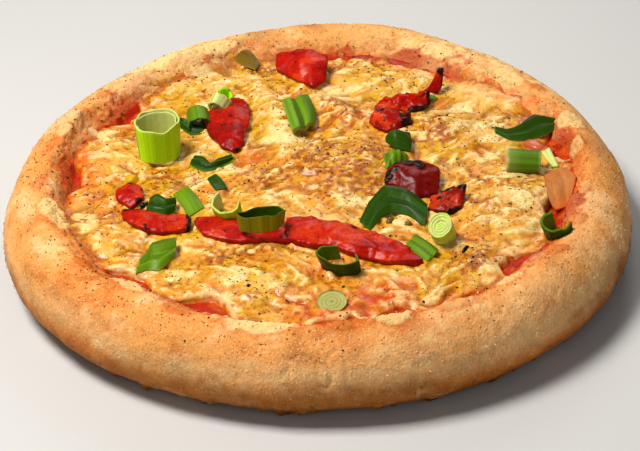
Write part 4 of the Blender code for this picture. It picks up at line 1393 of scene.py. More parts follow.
def cheese_tint(x, y, relief, colours):
    """The cheese's colours: pale streaks, amber oil between them, toasted spots and red oil at the edge, with
    a painted highlight on the crests and painted shade in the hollows.
    """
    flat = np.column_stack((x, y))
    broad = layered(flat, 22 * MM, 111)
    fine = layered(flat, 3.0 * MM, 113, layers=3)
    mid = layered(flat, 8.0 * MM, 117)
    crest = sampled(relief.crest, x, y)
    ridge = sampled(relief.ridge, x, y)
    raised = 0.5 * crest + 0.6 * ridge + 0.12 * fine + 0.35 * mid
    calm = calm_cheese(x, y)

    # Cream, yellow and amber by height, with pale and orange streaks. The pale on raised places is partly
    # thick pale cheese and partly a painted highlight, and the amber in the hollows partly oil and partly
    # painted shade.
    tint = filled(colours.cheese_cream, len(x))
    yellow = smooth(-0.20, 0.20, broad + 0.7 * mid) + 0.8 * patches(x, y, YELLOW_PATCHES)
    yellow = np.clip(yellow, 0, 1)
    tint = mixed(tint, colours.cheese_yellow, yellow * (0.85 - 0.55 * smooth(0.0, 0.6, raised)))
    # Amber in the hollows: oil between the shreds and partly painted shade.
    tint = mixed(tint, colours.cheese_amber, smooth(-0.15, -0.9, raised) * (0.35 + 0.5 * yellow))
    tint = mixed(tint, colours.cheese_pale, 0.30 * calm * smooth(-0.9, 0.1, raised))
    oily = smooth(0.05, 0.55, layered(flat, 12 * MM, 119) - 0.3 * raised)
    tint = mixed(tint, colours.oil_stain, 0.32 * oily)
    # Pale on the highest places: thick pale cheese and partly a painted highlight on the crests.
    tint = mixed(tint, colours.cheese_pale, 0.80 * smooth(0.35, 0.95, raised))
    blush = layered(flat * (0.7, 1.3), 5.0 * MM, 127, layers=3) - 0.25 * crest
    tint = mixed(tint, colours.cheese_toasted, 0.45 * smooth(0.0, 0.45, blush))
    streaks = layered(flat * (0.75, 1.35), 8.0 * MM, 131, layers=4) + 0.20 * crest + 0.15 * calm
    tint = mixed(tint, colours.cheese_pale, 0.80 * smooth(0.16, 0.42, streaks))

    # Tomato oil in patches and along the edge, redder where the cheese is thin.
    angle, distance = polar(x, y)
    inset = cheese_reach(angle) - distance
    stain = patches(x, y, STAINED_PATCHES) + 0.7 * smooth(9 * MM, 0.0, inset + 6.0 * mid * MM)
    soaked = 0.40 + 0.6 * smooth(-0.3, 0.4, mid + fine - 0.5 * crest)
    tint = mixed(tint, colours.oil_stain, np.clip(stain, 0, 1) * soaked)
    bleeding = patches(x, y, STAINED_PATCHES[:2]) + 0.5 * fine - 0.4 * crest
    tint = mixed(tint, colours.sauce_red, 0.6 * smooth(0.45, 1.1, bleeding))

    # Toasted spots, the darkest of them scorched.
    region = np.clip(patches(x, y, TOASTED_PATCHES) + 0.14 + 0.5 * mid, 0, 1) * (1 - 0.8 * calm)
    grit = noise(flat, 1.5 * MM, 115)
    toast = region * 0.45 + 0.4 * mid + 0.5 * fine + 0.45 * grit * (0.4 + region) - 0.10
    toast = smooth(0.15, 0.50, toast) * (1 - 0.7 * calm)
    tint = mixed(tint, colours.cheese_toasted, 0.85 * toast)
    scorch = smooth(0.25, 0.55, region * 0.3 + 0.5 * fine + 0.5 * grit + 0.3 * mid - 0.15)
    tint = mixed(tint, colours.cheese_scorched, 0.55 * scorch * region)
    # Darker in the hollows: painted shade.
    tint = tint * (1 + 0.10 * fine - 0.28 * smooth(-0.1, -1.0, raised))[:, None]
    return np.column_stack((tint, np.clip(0.95 * region + 0.5 * toast - 0.15, 0, 1)))


def make_cheese(sizes, colours, toppings):
    """The melted cheese: one blanket on a square grid folded to the cheese's ragged outline.

    A skirt runs in from its edge to a ring on the dough, which closes to a point beneath.
    """
    relief = CheeseRelief(sizes, toppings)
    share, angle = disc_grid(CHEESE_CELLS)
    share = share * (1 + 0.12 * (1 - share * share))
    radius = share * cheese_reach(angle.ravel()).reshape(share.shape)
    x = CENTRE[0] + radius * np.cos(angle)
    y = CENTRE[1] + radius * np.sin(angle)
    top = np.stack((x, y, relief.height(x.ravel(), y.ravel()).reshape(x.shape)), axis=-1)
    index = np.arange(top.shape[0] * top.shape[1]).reshape(top.shape[:2])
    quads = np.stack((index[:-1, :-1], index[1:, :-1], index[1:, 1:], index[:-1, 1:]), axis=-1)
    border = np.concatenate((index[:-1, 0], index[-1, :-1], index[:0:-1, -1], index[0, :0:-1]))
    points = top.reshape(-1, 3)
    rim = points[border]
    inner = rim.copy()
    inner[:, :2] = CENTRE + (rim[:, :2] - CENTRE) * 0.93
    inner[:, 2] = np.minimum(dough_level(inner[:, 0], inner[:, 1]) + 1.5 * MM, rim[:, 2] - 0.4 * MM)
    first = len(points)
    count = len(border)
    ring = first + np.arange(count)
    skirt = np.column_stack((border, ring, np.roll(ring, -1), np.roll(border, -1)))
    floor = np.column_stack((ring, np.full(count, first + count), np.roll(ring, -1)))
    points = np.vstack((points, inner, [[*CENTRE, CHEESE_UNDERSIDE]]))
    faces = [quads.reshape(-1, 4), skirt[:, ::-1], floor[:, ::-1]]
    tint = cheese_tint(points[:, 0], points[:, 1], relief, colours)
    cheese = mesh_piece("cheese_blanket", points, faces, surface("melted_cheese", colours), tint)
    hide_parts("cheese")
    return relief


def make_specks(relief, rows, sizes, colours):
    """Dried herb and cracked pepper: thin four sided flakes, on the cheese and on the rim."""
    chance = np.random.default_rng(SPECK_SEED)
    count = sizes.speck_count
    reach = 109 * MM * np.sqrt(chance.uniform(0, 1, count))
    turn = chance.uniform(0, 2 * math.pi, count)
    x = CENTRE[0] + reach * np.cos(turn)
    y = CENTRE[1] + reach * np.sin(turn)
    busy = 0.35 + 0.4 * noise(np.column_stack((x, y)), 15 * MM, 43) + 0.55 * patches(x, y, TOASTED_PATCHES)
    keep = chance.uniform(0, 1, count) < busy
    x, y = x[keep], y[keep]
    level = np.maximum(relief.height(x, y), dough_level(x, y) + 0.1 * MM)
    middle = np.column_stack((x, y, level))
    rank = chance.integers(*SPECK_ROWS, RIM_SPECKS)
    around = chance.integers(0, CRUST_DIRECTIONS, RIM_SPECKS)
    direction = around * 360.0 / CRUST_DIRECTIONS
    crowd = 0.75 * np.exp(-(((direction - 175) / 62) ** 2)) + 0.25 * np.exp(-(((direction - 80) / 40) ** 2))
    keep = chance.uniform(0, 1, RIM_SPECKS) < 0.12 + crowd
    middle = np.vstack((middle, rows[rank[keep], around[keep]]))
    count = len(middle)
    size = chance.gamma(2.0, 0.11, count) * MM + 0.14 * MM
    turn = chance.uniform(0, math.pi, count)
    ahead = np.column_stack((np.cos(turn), np.sin(turn), chance.uniform(-0.35, 0.35, count)))
    side = np.column_stack((-np.sin(turn), np.cos(turn), chance.uniform(-0.35, 0.35, count)))
    slim = chance.uniform(0.35, 0.9, count)[:, None]
    up = np.array((0.0, 0.0, 1.0))
    corners = np.stack((ahead, side * slim, -ahead, -side * slim), axis=1)
    ring = middle[:, None] + corners * size[:, None, None] + up * 0.12 * MM
    top = middle + up * (size * 0.35)[:, None] + up * 0.12 * MM
    points, faces = small_bodies(ring, top, middle - up * 0.10 * MM)
    green = np.repeat(chance.uniform(0, 1, count) ** 2, 6)
    tint = mixed(filled(colours.speck_dark, 6 * count), colours.speck_green, 0.7 * green)
    specks = mesh_piece("herb_specks", points, faces, surface("dried_herb", colours), tint)


def pepper_piece(node, near, far, body, dark, orange, folds, shape, seed, chars, colours):
    """One piece of roasted pepper between two edges: wrinkled glossy skin, charred in places."""
    (thickness, bulge), (depth, size) = body, folds
    sheet = ribbon(near, far, bulge, 0.22, 0.7, seed, 0.7, shape=shape)
    sheet[..., 2] += (thickness / 2 - 0.1) * MM
    flat = sheet[..., :2].reshape(-1, 2)
    creased = 0.25 - billows(flat, 1.6 * size * MM, seed + 3).reshape(shape)
    sheet = sheet + normals_of(sheet) * (1.3 * depth * MM * creased)[..., None]
    sheet = wrinkled(sheet, depth * 0.4, size, seed, (0.7, 1.2))
    points, faces, u, v = pillow(sheet, thickness * MM, 1.0 * MM)
    blotch = layered(points, 8 * MM, seed + 5) + 0.6 * layered(points[:, :2] * (0.5, 1.3), size * MM, seed)
    fine = layered(points, 1.8 * MM, seed + 7, layers=3)
    tint = mixed(filled(colours.pepper_red, len(points)), colours.pepper_dark, dark)
    tint = mixed(tint, colours.pepper_orange, orange * smooth(0.0, 0.5, blotch + 0.3 * fine))
    tint = mixed(tint, colours.pepper_dark, 0.55 * smooth(0.0, 0.5, -blotch + 0.3 * fine))
    rim = smooth(0.10, 0.0, np.minimum(np.minimum(u, 1 - u), np.minimum(v, 1 - v)))
    tint = mixed(tint, colours.pepper_dark, 0.4 * rim)
    burnt = np.zeros(len(points))
    for along, across, reach_along, reach_across, strength in chars:
        spot = np.exp(-(((u - along) / reach_along) ** 2 + ((v - across) / reach_across) ** 2))
        burnt = np.maximum(burnt, strength * spot)
    streaks = layered(points * (0.5, 1.4, 1.0), 3.5 * MM, seed + 9, layers=3)
    burnt = smooth(0.46, 0.62, burnt + 0.4 * fine + 0.7 * streaks)
    tint = mixed(tint, colours.char_black, 0.95 * burnt)
    points[:, 2] += 0.45 * MM * burnt * (0.6 + 1.5 * fine)
    tint = np.column_stack((tint, np.clip(0.35 + dark, 0, 1) * (1 - burnt)))
    piece = mesh_piece(node + "_skin", points, faces, bpy.data.materials["roasted_pepper_skin"], tint)
    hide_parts(node)


def make_peppers(colours):
    """Every piece of roasted pepper, laid out as its solid is."""
    surface("roasted_pepper_skin", colours)
    for pepper in PEPPERS:
        pepper_piece(*pepper, colours)


def onion_object(node, points, faces, tint):
    """One finished piece of spring onion in its node's place."""
    skin = bpy.data.materials["spring_onion_skin"]
    piece = mesh_piece(node + "_piece", points, faces, skin, np.clip(tint, 0, 1))
    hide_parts(node)


def tube_shell(at, across, length, wall, heading, squash, split, seed, slant, sides=120):
    """One layer of a cut stalk: its wall's rounded section carried round the stalk's axis.

    The stalk is faceted and uneven, and its far end is cut at a slant. Returns the rows of points and,
    for each, the share round, the share along and how far inside the wall it is.
    """
    turn, lean = (math.radians(part) for part in heading)
    axis = np.array((math.cos(turn) * math.cos(lean), math.sin(turn) * math.cos(lean), math.sin(lean)))
    side = np.array((-math.sin(turn), math.cos(turn), 0.0))
    top = np.cross(axis, side)
    sweep = math.radians(360 - split)
    share = np.arange(sides) / sides if split == 0 else np.linspace(0, 1, sides)
    around = share * sweep + (2 * math.pi - sweep) / 2 + math.pi / 2
    half, bend = length * MM / 2, wall * MM / 2
    straight = np.linspace(-1, 1, 16) * (half - bend)
    arc = np.linspace(0, math.pi, 8)[1:-1]
    end = half - bend + bend * np.sin(arc)
    along = np.concatenate((straight, end, -straight, -end))
    outward = np.concatenate((np.full(16, bend), bend * np.cos(arc), np.full(16, -bend), -bend * np.cos(arc)))
    ring = np.column_stack((np.cos(around), np.sin(around)))
    facets = 0.035 * np.abs(np.sin(3.5 * around + seed)) + 0.10 * noise(ring, 0.8, seed)
    facets = facets + 0.02 * noise(ring, 0.2, seed + 1)
    flare = 1 + 0.10 * along / (2 * half)
    radius = (across * MM / 2 - bend) * (1 + facets[:, None]) * flare[None, :]
    close = np.ones(sides)
    if split:
        close = np.sqrt(np.clip(1 - (1 - np.clip(np.minimum(share, 1 - share) * 30, 0, 1)) ** 2, 0.02, 1))
    radius = radius + outward[None, :] * close[:, None]
    cut = 0.9 * MM * noise(ring, 0.5, seed + 2) + slant * MM * -np.sin(around)
    shift = along[None, :] + cut[:, None] * (0.5 + 0.5 * along / half)[None, :]
    rows = np.array((*at, 0.0)) * MM + axis * shift[..., None]
    rows = rows + radius[..., None] * (np.cos(around)[:, None, None] * side)
    rows = rows + radius[..., None] * squash * (np.sin(around)[:, None, None] * top)
    inside = 0.5 - outward / (2 * bend) * 0.5
    return rows, [np.broadcast_to(part, rows.shape[:2]) for part in (share[:, None], along / half, inside)]


def tube_tint(shape, outer, inner, seed, pale_end):
    """Green with fine lengthwise fibres outside, and the inner colour inside, along the cut edges and at one
    end: paler for most tubes, and for two a dark green painted as shade in the hollow.
    """
    share, along, inside = (part.ravel() for part in shape)
    ring = np.column_stack((np.cos(share * 2 * math.pi), np.sin(share * 2 * math.pi)))
    fibre = 0.6 * noise(ring, 0.06, seed) + noise(ring, 0.35, seed + 1) + 0.5 * noise(ring, 0.15, seed + 2)
    tint = filled(outer, len(share)) * (1 + 0.30 * fibre)[:, None]
    tint = mixed(tint, inner, smooth(0.35, 0.75, inside))
    tint = mixed(tint, inner, 0.6 * smooth(0.86, 1.0, np.abs(along)))
    return mixed(tint, inner, pale_end * smooth(0.0, 1.0, along))


def onion_tube(node, at, body, heading, outer, inner, squash, split, layers, slant, pale_end, seed):
    """A hollow cut length of spring onion, of one or more layers, one inside the other."""
    across, length, wall = body
    points, faces, tints = [], [], []
    first = 0
    for layer in range(layers):
        rows, shape = tube_shell(
            at,
            across - layer * 2.8 * wall,
            length * (1 - 0.08 * layer),
            wall * (1 - 0.2 * layer),
            (heading[0] + 25 * layer, heading[1]),
            squash,
            100.0 if layer else split,
            seed + 5 * layer,
            slant,
        )
        shell, quads = loft(rows, closed_along=split == 0 and layer == 0)
        tint = tube_tint(shape, inner if layer else outer, inner, seed + layer, pale_end)
        spare = len(shell) - len(tint)
        points.append(shell)
        tints.append(np.vstack((tint, np.tile(tint[:1], (spare, 1)))))
        faces.extend(part + first for part in quads)
        first += len(shell)
    points = fitted(np.vstack(points), node, RESTING.get(node, 0.8), node not in RESTING)
    onion_object(node, points, faces, np.vstack(tints))


def onion_leaf(node, near, far, outer, pale, bulge, creases, thickness, light_edge, seed):
    """A flat or folded bit of leaf between two edges, with fibres along it, its folds painted lighter and
    darker in turn as light and shade, and a paler cut edge.
    """
    sheet = ribbon(near, far, bulge, 0.06, 0.25, seed, 0.6, creases)
    sheet[..., 2] += (thickness / 2 + 0.5) * MM
    points, faces, u, v = pillow(wrinkled(sheet, 0.12, 3.0, seed), thickness * MM, 0.5 * MM)
    place = np.column_stack((u, v))
    fibre = noise(place * (1.2, 26), 1.0, seed) + 0.8 * noise(place * (1.0, 7), 1.0, seed + 1)
    tint = filled(outer, len(points)) * (1 + 0.24 * fibre)[:, None]
    # Each panel between creases is in turn lighter and darker: on folded leaves painted light and shade on
    # the facets, on onion_tube_striped its own stripes.
    count = creases[0]
    tint = tint * (1 + 0.22 * np.sign(np.sin(2 * math.pi * v * max(count, 1))) * (count > 0))[:, None]
    tint = mixed(tint, pale, light_edge * smooth(0.05, 0.0, np.minimum(v, 1 - v)))
    tint = mixed(tint, pale, light_edge * smooth(0.03, 0.0, np.minimum(u, 1 - u)))
    onion_object(node, points, faces, tint)


def onion_slice(node, inner, outer, heading, drum, sunk, seed):
    """A solid slice of the stalk: a drum, in mm across and high, whose faces show ring after ring."""
    around = np.arange(120) * 2 * math.pi / 120
    face = np.linspace(0.02, 1, 44)[:, None]
    ripples = 0.8 * np.sin(2 * around) + 0.5 * np.sin(5 * around)
    ripples = 0.045 * np.cos(face * 2 * math.pi * 4.0 + ripples)
    side = np.linspace(-1, 1, 16)[1:-1, None]
    edge = 1 + 0.04 * np.sin(2 * around + 1) + 0.02 * np.sin(5 * around)
    radius = np.vstack((face * edge, (1.0 - 0.05 * np.abs(side) ** 3) * edge, face[::-1] * edge))
    upper = 1 + ripples - 0.10 * smooth(0.9, 0.0, face) + 0.05 * noise(face * 6, 1.0, seed)[:, None]
    level = np.vstack((-1 + 0 * ripples, side + 0 * around, upper[::-1]))
    across, height = drum
    turn, lean = math.radians(heading[0]), math.radians(90 - heading[1])
    x, y, z = radius * np.cos(around) * across / 2, radius * np.sin(around) * across / 2, level * height / 2
    x, z = x * math.cos(lean) + z * math.sin(lean), z * math.cos(lean) - x * math.sin(lean)
    x, y = x * math.cos(turn) - y * math.sin(turn), x * math.sin(turn) + y * math.cos(turn)
    points, faces = loft(np.stack((x, y, z), axis=-1))
    reach = np.concatenate((radius.ravel(), (0.0, 0.0)))
    height = np.concatenate((np.broadcast_to(level, radius.shape).ravel(), (-1.0, 1.0)))
    spokes = noise(points, 1.1, seed) + 0.6 * noise(points, 0.5, seed + 1)
    tint = filled(inner, len(points)) * (1 + 0.10 * spokes)[:, None]
    line = smooth(0.3, 0.95, np.cos(reach * 2 * math.pi * 4.0 + 0.5 * spokes))
    brim = smooth(0.86, 1.0, reach) * (height > 0.85)
    tint = mixed(tint, outer, 0.22 * line * (0.5 + spokes) + 0.75 * brim)
    tint = mixed(tint, outer, 0.35 * (np.abs(height) < 0.9) * (1 + spokes))
    tint = mixed(tint, outer, 0.5 * smooth(0.16, 0.04, reach))
    onion_object(node, fitted(points, node, sunk), faces, tint)


def onion_palette(colours):
    """The onion's colours by name, and those between two of them."""
    palette = {name: getattr(colours, "onion_" + name)[:] for name in ONION_COLOURS}
    for name, one, other, share in ONION_BLENDS:
        palette[name] = mixed(np.array([palette[one]]), palette[other], share)[0]
    return palette


def make_onions(colours):
    """Every piece of spring onion, laid out as its solid is."""
    surface("spring_onion_skin", colours)
    palette = onion_palette(colours)
    for node, at, body, heading, outer, inner, *rest in TUBES:
        onion_tube(node, at, body, heading, palette[outer], palette[inner], *rest)
    for node, inner, outer, *rest in SLICES:
        onion_slice(node, palette[inner], palette[outer], *rest)
    for node, near, far, outer, pale, *rest in LEAVES:
        onion_leaf(node, near, far, palette[outer], palette[pale], *rest)


def make_cooked_onion(colours):
    """A soft piece of onion against the rim, browner along its edges."""
    near = ((95.4, -7.0, 0.0), (93.6, -22.1, 0.0), (95.4, -38.0, 0.0))
    far = ((104.4, -6.6, 2.4), (107.0, -16.3, 2.6), (101.8, -33.5, 0.6))
    sheet = ribbon(near, far, 0.3, 0.12, 0.8, 651)
    sheet[..., 2] += 0.6 * MM
    points, faces, u, v = pillow(wrinkled(sheet, 0.45, 5.0, 651, (1.6, 0.5)), 1.0 * MM, 0.4 * MM)
    stripe = noise(np.column_stack((v * 7, u)), 1.0, 653)
    tint = filled(colours.cooked_onion, len(points)) * (1 + 0.2 * stripe)[:, None]
    tint = mixed(tint, colours.oil_stain, 0.7 * smooth(0.12, 0.0, 1 - v) + 0.5 * smooth(0.75, 1.0, u))
    tint = mixed(tint, colours.crust_toasted, 0.5 * smooth(0.10, 0.0, np.abs(v - 0.28 - 0.1 * stripe)))
    material = surface("cooked_onion_flesh", colours)
    piece = mesh_piece("cooked_onion_piece", points, faces, material, np.clip(tint, 0, 1))
    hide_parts("cooked_onion")


def make_bits(relief, colours):
    """Small loose bits: lumps of mushroom, burnt crumbs, a bubble of cheese and scraps of leaf."""
    points, faces, tints = [], [], []
    turn = np.arange(18) * 2 * math.pi / 18
    tilt = np.linspace(-0.5, 0.5, 13)[1:-1, None] * math.pi
    ball = np.cos(tilt) * np.cos(turn), np.cos(tilt) * np.sin(turn), np.sin(tilt) + 0 * turn
    first = 0
    for number, (x, y, length, width, height, heading, colour) in enumerate(BITS):
        shell, quads = loft(np.stack(ball, axis=-1))
        shell = shell * (1 + 0.45 * layered(shell, 0.9, 700 + number)[:, None])
        shell = shell * np.array((length, width, height)) * MM
        cosine, sine = math.cos(math.radians(heading)), math.sin(math.radians(heading))
        flat = shell[:, :2] @ np.array(((cosine, sine), (-sine, cosine)))
        level = relief.height(np.array([x * MM]), np.array([y * MM]))[0] - 0.1 * height * MM
        points.append(np.column_stack((flat[:, 0] + x * MM, flat[:, 1] + y * MM, shell[:, 2] + level)))
        shade = 1 + 0.25 * layered(shell, 2 * MM, 730 + number)
        tints.append(np.array(getattr(colours, colour)[:]) * shade[:, None])
        faces.extend(part + first for part in quads)
        first += len(shell)
    tint = np.clip(np.vstack(tints), 0, 1)
    bits = mesh_piece("small_bits", np.vstack(points), faces, surface("small_bits", colours), tint)


def topping_pieces():
    """The pepper and onion pieces made so far."""
    endings = ("_skin", "_piece")
    return [thing for thing in bpy.data.objects if thing.type == "MESH" and thing.name.endswith(endings)]


def add_light(name, place, target, width, power, colour):
    """A square soft light aimed at a point."""
    lamp = bpy.data.lights.new(name, "AREA")
    lamp.size = width
    lamp.energy = power
    lamp.color = colour
    light = bpy.data.objects.new(name, lamp)
    light.location = place
    light.rotation_euler = (Vector(target) - Vector(place)).to_track_quat("-Z", "Y").to_euler()
    bpy.context.scene.collection.objects.link(light)


def make_floor(colour):
    """A plain pale floor, a little uneven in gloss."""
    mesh = bpy.data.meshes.new("floor")
    corners = [(-FLOOR_REACH, -FLOOR_REACH, 0), (FLOOR_REACH, -FLOOR_REACH, 0)]
    corners += [(FLOOR_REACH, FLOOR_REACH, 0), (-FLOOR_REACH, FLOOR_REACH, 0)]
    mesh.from_pydata(corners, [], [(0, 1, 2, 3)])
    material, nodes, links, shader = node_material("pale_floor")
    tone = add_range(nodes, links, add_noise(nodes, links, 6.0), 0.3, 0.7, 0.45, 0.60)
    links.new(tone, shader.inputs["Roughness"])
    shader.inputs["Base Color"].default_value = (*colour, 1.0)
    mesh.materials.append(material)
    floor = bpy.data.objects.new("floor", mesh)
    bpy.context.scene.collection.objects.link(floor)


def make_camera(stage):
    """The camera at the photograph's angle: elevation, distance, a slight roll and a long lens."""
    data = bpy.data.cameras.new("camera")
    data.sensor_width = 36.0
    data.lens = stage.lens
    data.clip_start = 0.05
    camera = bpy.data.objects.new("camera", data)
    elevation, roll = stage.camera_elevation, stage.camera_roll
    ahead = Vector((0.0, math.cos(elevation), -math.sin(elevation)))
    right = Vector((1.0, 0.0, 0.0))
    up = right.cross(ahead)
    right, up = right * math.cos(roll) + up * math.sin(roll), up * math.cos(roll) - right * math.sin(roll)
    place = Vector(stage.camera_target) - ahead * stage.camera_distance
    turn = Matrix((right, up, -ahead)).transposed().to_4x4()
    camera.matrix_world = Matrix.Translation(place) @ turn
    bpy.context.scene.collection.objects.link(camera)
    bpy.context.scene.camera = camera


class PizzaSizes(bpy.types.PropertyGroup):
    """How coarse the baked surfaces are, and how many small things lie on them"""

    crust_lumps: FloatProperty(
        name="Crust lumps", description="Height of the slow lumps in the dough", default=0.0013, unit="LENGTH"
    )
    crust_pores: FloatProperty(
        name="Crust pores", description="Height of the fine unevenness", default=0.00012, unit="LENGTH"
    )
    crust_flakes: FloatProperty(
        name="Crust flakes", description="How far flakes stand out low down", default=0.0044, unit="LENGTH"
    )
    shred_height: FloatProperty(
        name="Shred height", description="Height of the melted cheese shreds", default=0.0012, unit="LENGTH"
    )
    shred_count: IntProperty(
        name="Shreds", description="Number of melted cheese shreds", default=1000, min=0
    )
    speck_count: IntProperty(
        name="Specks", description="Herb and pepper flakes tried for", default=10000, min=1
    )
    grain_count: IntProperty(
        name="Grains", description="Fine crumbs tried for on the rim", default=14000, min=1
    )


def colour_property(name, description, red, green, blue):
    """A colour that the user can change, with its default from 0 to 255."""
    default = tuple(float(part) for part in paint(red, green, blue))
    return FloatVectorProperty(
        name=name, description=description, subtype="COLOR", default=default, min=0.0, max=1.0
    )


class PizzaColours(bpy.types.PropertyGroup):
    """The colours of dough, sauce, cheese and toppings"""

    crust_golden: colour_property("Golden crust", "Top of the rim", 228, 152, 76)
    crust_toasted: colour_property("Toasted crust", "Toasted blotches on the rim", 200, 106, 32)
    crust_pale: colour_property("Pale crust", "Pale band and floury patches", 238, 190, 130)
    # The brown and baked colours of the lower side are real browning and partly painted shade.
    crust_brown: colour_property("Brown crust", "The lower part of the side", 152, 82, 10)
    crust_baked_and_shaded: colour_property("Baked edge", "The lowest edge", 96, 48, 3)
    crust_grain: colour_property("Crumbs", "Fine crumbs on the rim", 252, 204, 132)
    sauce_red: colour_property("Sauce", "Tomato sauce", 178, 34, 6)
    sauce_dark: colour_property("Dark sauce", "Thick tomato sauce", 134, 16, 4)
    oil_stain: colour_property("Oil stain", "Cheese and dough stained by tomato oil", 222, 88, 16)
    cheese_cream: colour_property("Cheese", "Melted cheese", 230, 165, 60)
    cheese_yellow: colour_property("Yellow cheese", "Oily yellow cheese", 218, 164, 12)
    cheese_pale: colour_property("Pale cheese", "Thick pale cheese", 250, 221, 148)
    cheese_amber: colour_property("Amber oil", "Oil between the shreds", 184, 116, 6)
    cheese_toasted: colour_property("Toasted cheese", "Toasted cheese", 192, 100, 14)
    cheese_scorched: colour_property("Scorched cheese", "Darkest toasted spots", 104, 46, 10)
    pepper_red: colour_property("Pepper", "Roasted pepper", 180, 18, 5)
    pepper_orange: colour_property("Orange pepper", "Thin orange skin", 226, 66, 14)
    pepper_dark: colour_property("Dark pepper", "Thick dark pepper", 104, 8, 4)
    char_black: colour_property("Char", "Charred skin", 16, 10, 8)
    onion_lime: colour_property("Lime leaf", "Young leaf", 184, 244, 22)
    onion_green: colour_property("Green leaf", "Middle leaf", 92, 126, 16)
    onion_dark: colour_property("Dark leaf", "Old leaf", 40, 72, 6)
    onion_pale: colour_property("Pale stalk", "Stalk and inner layers", 204, 212, 124)
    onion_olive: colour_property("Olive leaf", "Roasted leaf", 112, 86, 14)
    cooked_onion: colour_property("Cooked onion", "Soft cooked onion", 184, 108, 40)
    pink_flesh: colour_property("Pink flesh", "Scraps of cooked meat", 192, 92, 56)
    speck_dark: colour_property("Dark specks", "Cracked pepper", 24, 13, 7)
    speck_green: colour_property("Herb specks", "Dried herb", 88, 78, 22)


class PizzaStage(bpy.types.PropertyGroup):
    """The camera, the floor and the light"""

    camera_elevation: FloatProperty(
        name="Elevation", description="Camera height", default=math.radians(34.0), subtype="ANGLE"
    )
    camera_roll: FloatProperty(
        name="Roll", description="Camera roll", default=math.radians(-1.6), subtype="ANGLE"
    )
    camera_distance: FloatProperty(
        name="Distance", description="Camera distance", default=0.70, unit="LENGTH"
    )
    camera_target: FloatVectorProperty(
        name="Target", description="What the camera looks at", default=(0.0017, -0.0248, 0.016), unit="LENGTH"
    )
    lens: FloatProperty(name="Lens", description="Focal length in millimetres", default=96.2)
    key_power: FloatProperty(
        name="Key light", description="Power of the main soft light", default=10.2, unit="POWER"
    )
    back_power: FloatProperty(
        name="Back light", description="Power of the light behind", default=1.6, unit="POWER"
    )
    fill_power: FloatProperty(
        name="Fill light", description="Power of the front light", default=1.3, unit="POWER"
    )
    world_light: FloatProperty(name="Room light", description="Strength of the light all round", default=0.11)
    floor_colour: colour_property("Floor", "The floor's colour", 208, 207, 205)


class PIZZA_OT_stage(bpy.types.Operator):
    """Adds the camera, the soft lights and the pale floor"""

    bl_idname = "pizza.stage"
    bl_label = "Stage"

    def execute(self, context):
        stage = context.scene.pizza_stage
        make_camera(stage)
        make_floor(stage.floor_colour)
        add_light("key_light", (-0.38, -0.03, 0.85), (0, 0, 0.02), 0.30, stage.key_power, (1.0, 0.97, 0.92))
        add_light("back_light", (0.15, 0.75, 0.60), (0, 0, 0.02), 0.40, stage.back_power, (1.0, 0.98, 0.95))
        add_light("fill_light", (0.05, -0.95, 0.60), (0, 0, 0.02), 0.8, stage.fill_power, (1.0, 0.98, 0.96))
        world = context.scene.world or bpy.data.worlds.new("room")
        context.scene.world = world
        world.use_nodes = True
        background = world.node_tree.nodes["Background"]
        background.inputs["Color"].default_value = (0.96, 0.98, 1.0, 1.0)
        background.inputs["Strength"].default_value = stage.world_light
        context.scene.view_settings.view_transform = "Standard"
        return {"FINISHED"}


class PIZZA_OT_crust(bpy.types.Operator):
    """Models the baked dough with its fine crumbs"""

    bl_idname = "pizza.crust"
    bl_label = "Crust"

    def execute(self, context):
        sizes, colours = context.scene.pizza_sizes, context.scene.pizza_colours
        rows, tints = make_crust(sizes, colours)
        make_grains(rows, tints, sizes, colours)
        return {"FINISHED"}


class PIZZA_OT_sauce(bpy.types.Operator):
    """Models the tomato sauce"""

    bl_idname = "pizza.sauce"
    bl_label = "Sauce"

    def execute(self, context):
        make_sauce(context.scene.pizza_colours)
        return {"FINISHED"}


class PIZZA_OT_peppers(bpy.types.Operator):
    """Models the roasted peppers"""

    bl_idname = "pizza.peppers"
    bl_label = "Peppers"

    def execute(self, context):
        make_peppers(context.scene.pizza_colours)
        return {"FINISHED"}


class PIZZA_OT_onions(bpy.types.Operator):
    """Models the spring onion and the cooked onion"""

    bl_idname = "pizza.onions"
    bl_label = "Onions"

    def execute(self, context):
        make_onions(context.scene.pizza_colours)
        make_cooked_onion(context.scene.pizza_colours)
        return {"FINISHED"}


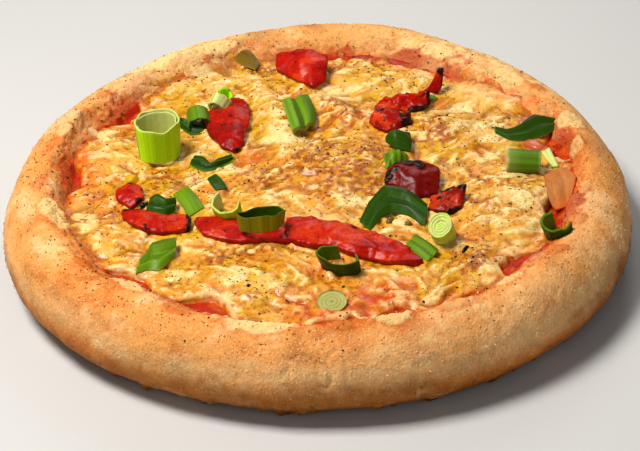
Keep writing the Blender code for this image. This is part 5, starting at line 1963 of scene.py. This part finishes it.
class PIZZA_OT_cheese(bpy.types.Operator):
    """Models the cheese round the toppings that are there, and the specks on it"""

    bl_idname = "pizza.cheese"
    bl_label = "Cheese"

    def execute(self, context):
        sizes, colours = context.scene.pizza_sizes, context.scene.pizza_colours
        relief = make_cheese(sizes, colours, topping_pieces())
        make_specks(relief, crust_rows(sizes), sizes, colours)
        make_bits(relief, colours)
        return {"FINISHED"}


class PIZZA_PT_sidebar(bpy.types.Panel):
    """Lists the steps that make the pizza, in order"""

    bl_idname = "PIZZA_PT_sidebar"
    bl_label = "Pizza"
    bl_space_type = "VIEW_3D"
    bl_region_type = "UI"
    bl_category = "Pizza"

    def draw(self, context):
        for operator in STEPS:
            self.layout.operator(operator.bl_idname)
        for group in (context.scene.pizza_sizes, context.scene.pizza_colours, context.scene.pizza_stage):
            box = self.layout.box()
            for name in group.bl_rna.properties.keys():
                if name not in ("rna_type", "name"):
                    box.prop(group, name)


STEPS = (PIZZA_OT_stage, PIZZA_OT_crust, PIZZA_OT_sauce, PIZZA_OT_peppers, PIZZA_OT_onions, PIZZA_OT_cheese)
GROUPS = (PizzaSizes, PizzaColours, PizzaStage)


def register():
    for each in (*GROUPS, *STEPS, PIZZA_PT_sidebar):
        bpy.utils.register_class(each)
    bpy.types.Scene.pizza_sizes = PointerProperty(type=PizzaSizes)
    bpy.types.Scene.pizza_colours = PointerProperty(type=PizzaColours)
    bpy.types.Scene.pizza_stage = PointerProperty(type=PizzaStage)


def unregister():
    del bpy.types.Scene.pizza_stage
    del bpy.types.Scene.pizza_colours
    del bpy.types.Scene.pizza_sizes
    for each in reversed((*GROUPS, *STEPS, PIZZA_PT_sidebar)):
        bpy.utils.unregister_class(each)


def main():
    """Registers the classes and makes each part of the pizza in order."""
    register()
    bpy.ops.pizza.stage()
    bpy.ops.pizza.crust()
    bpy.ops.pizza.sauce()
    bpy.ops.pizza.peppers()
    bpy.ops.pizza.onions()
    bpy.ops.pizza.cheese()


if __name__ == "__main__":
    main()
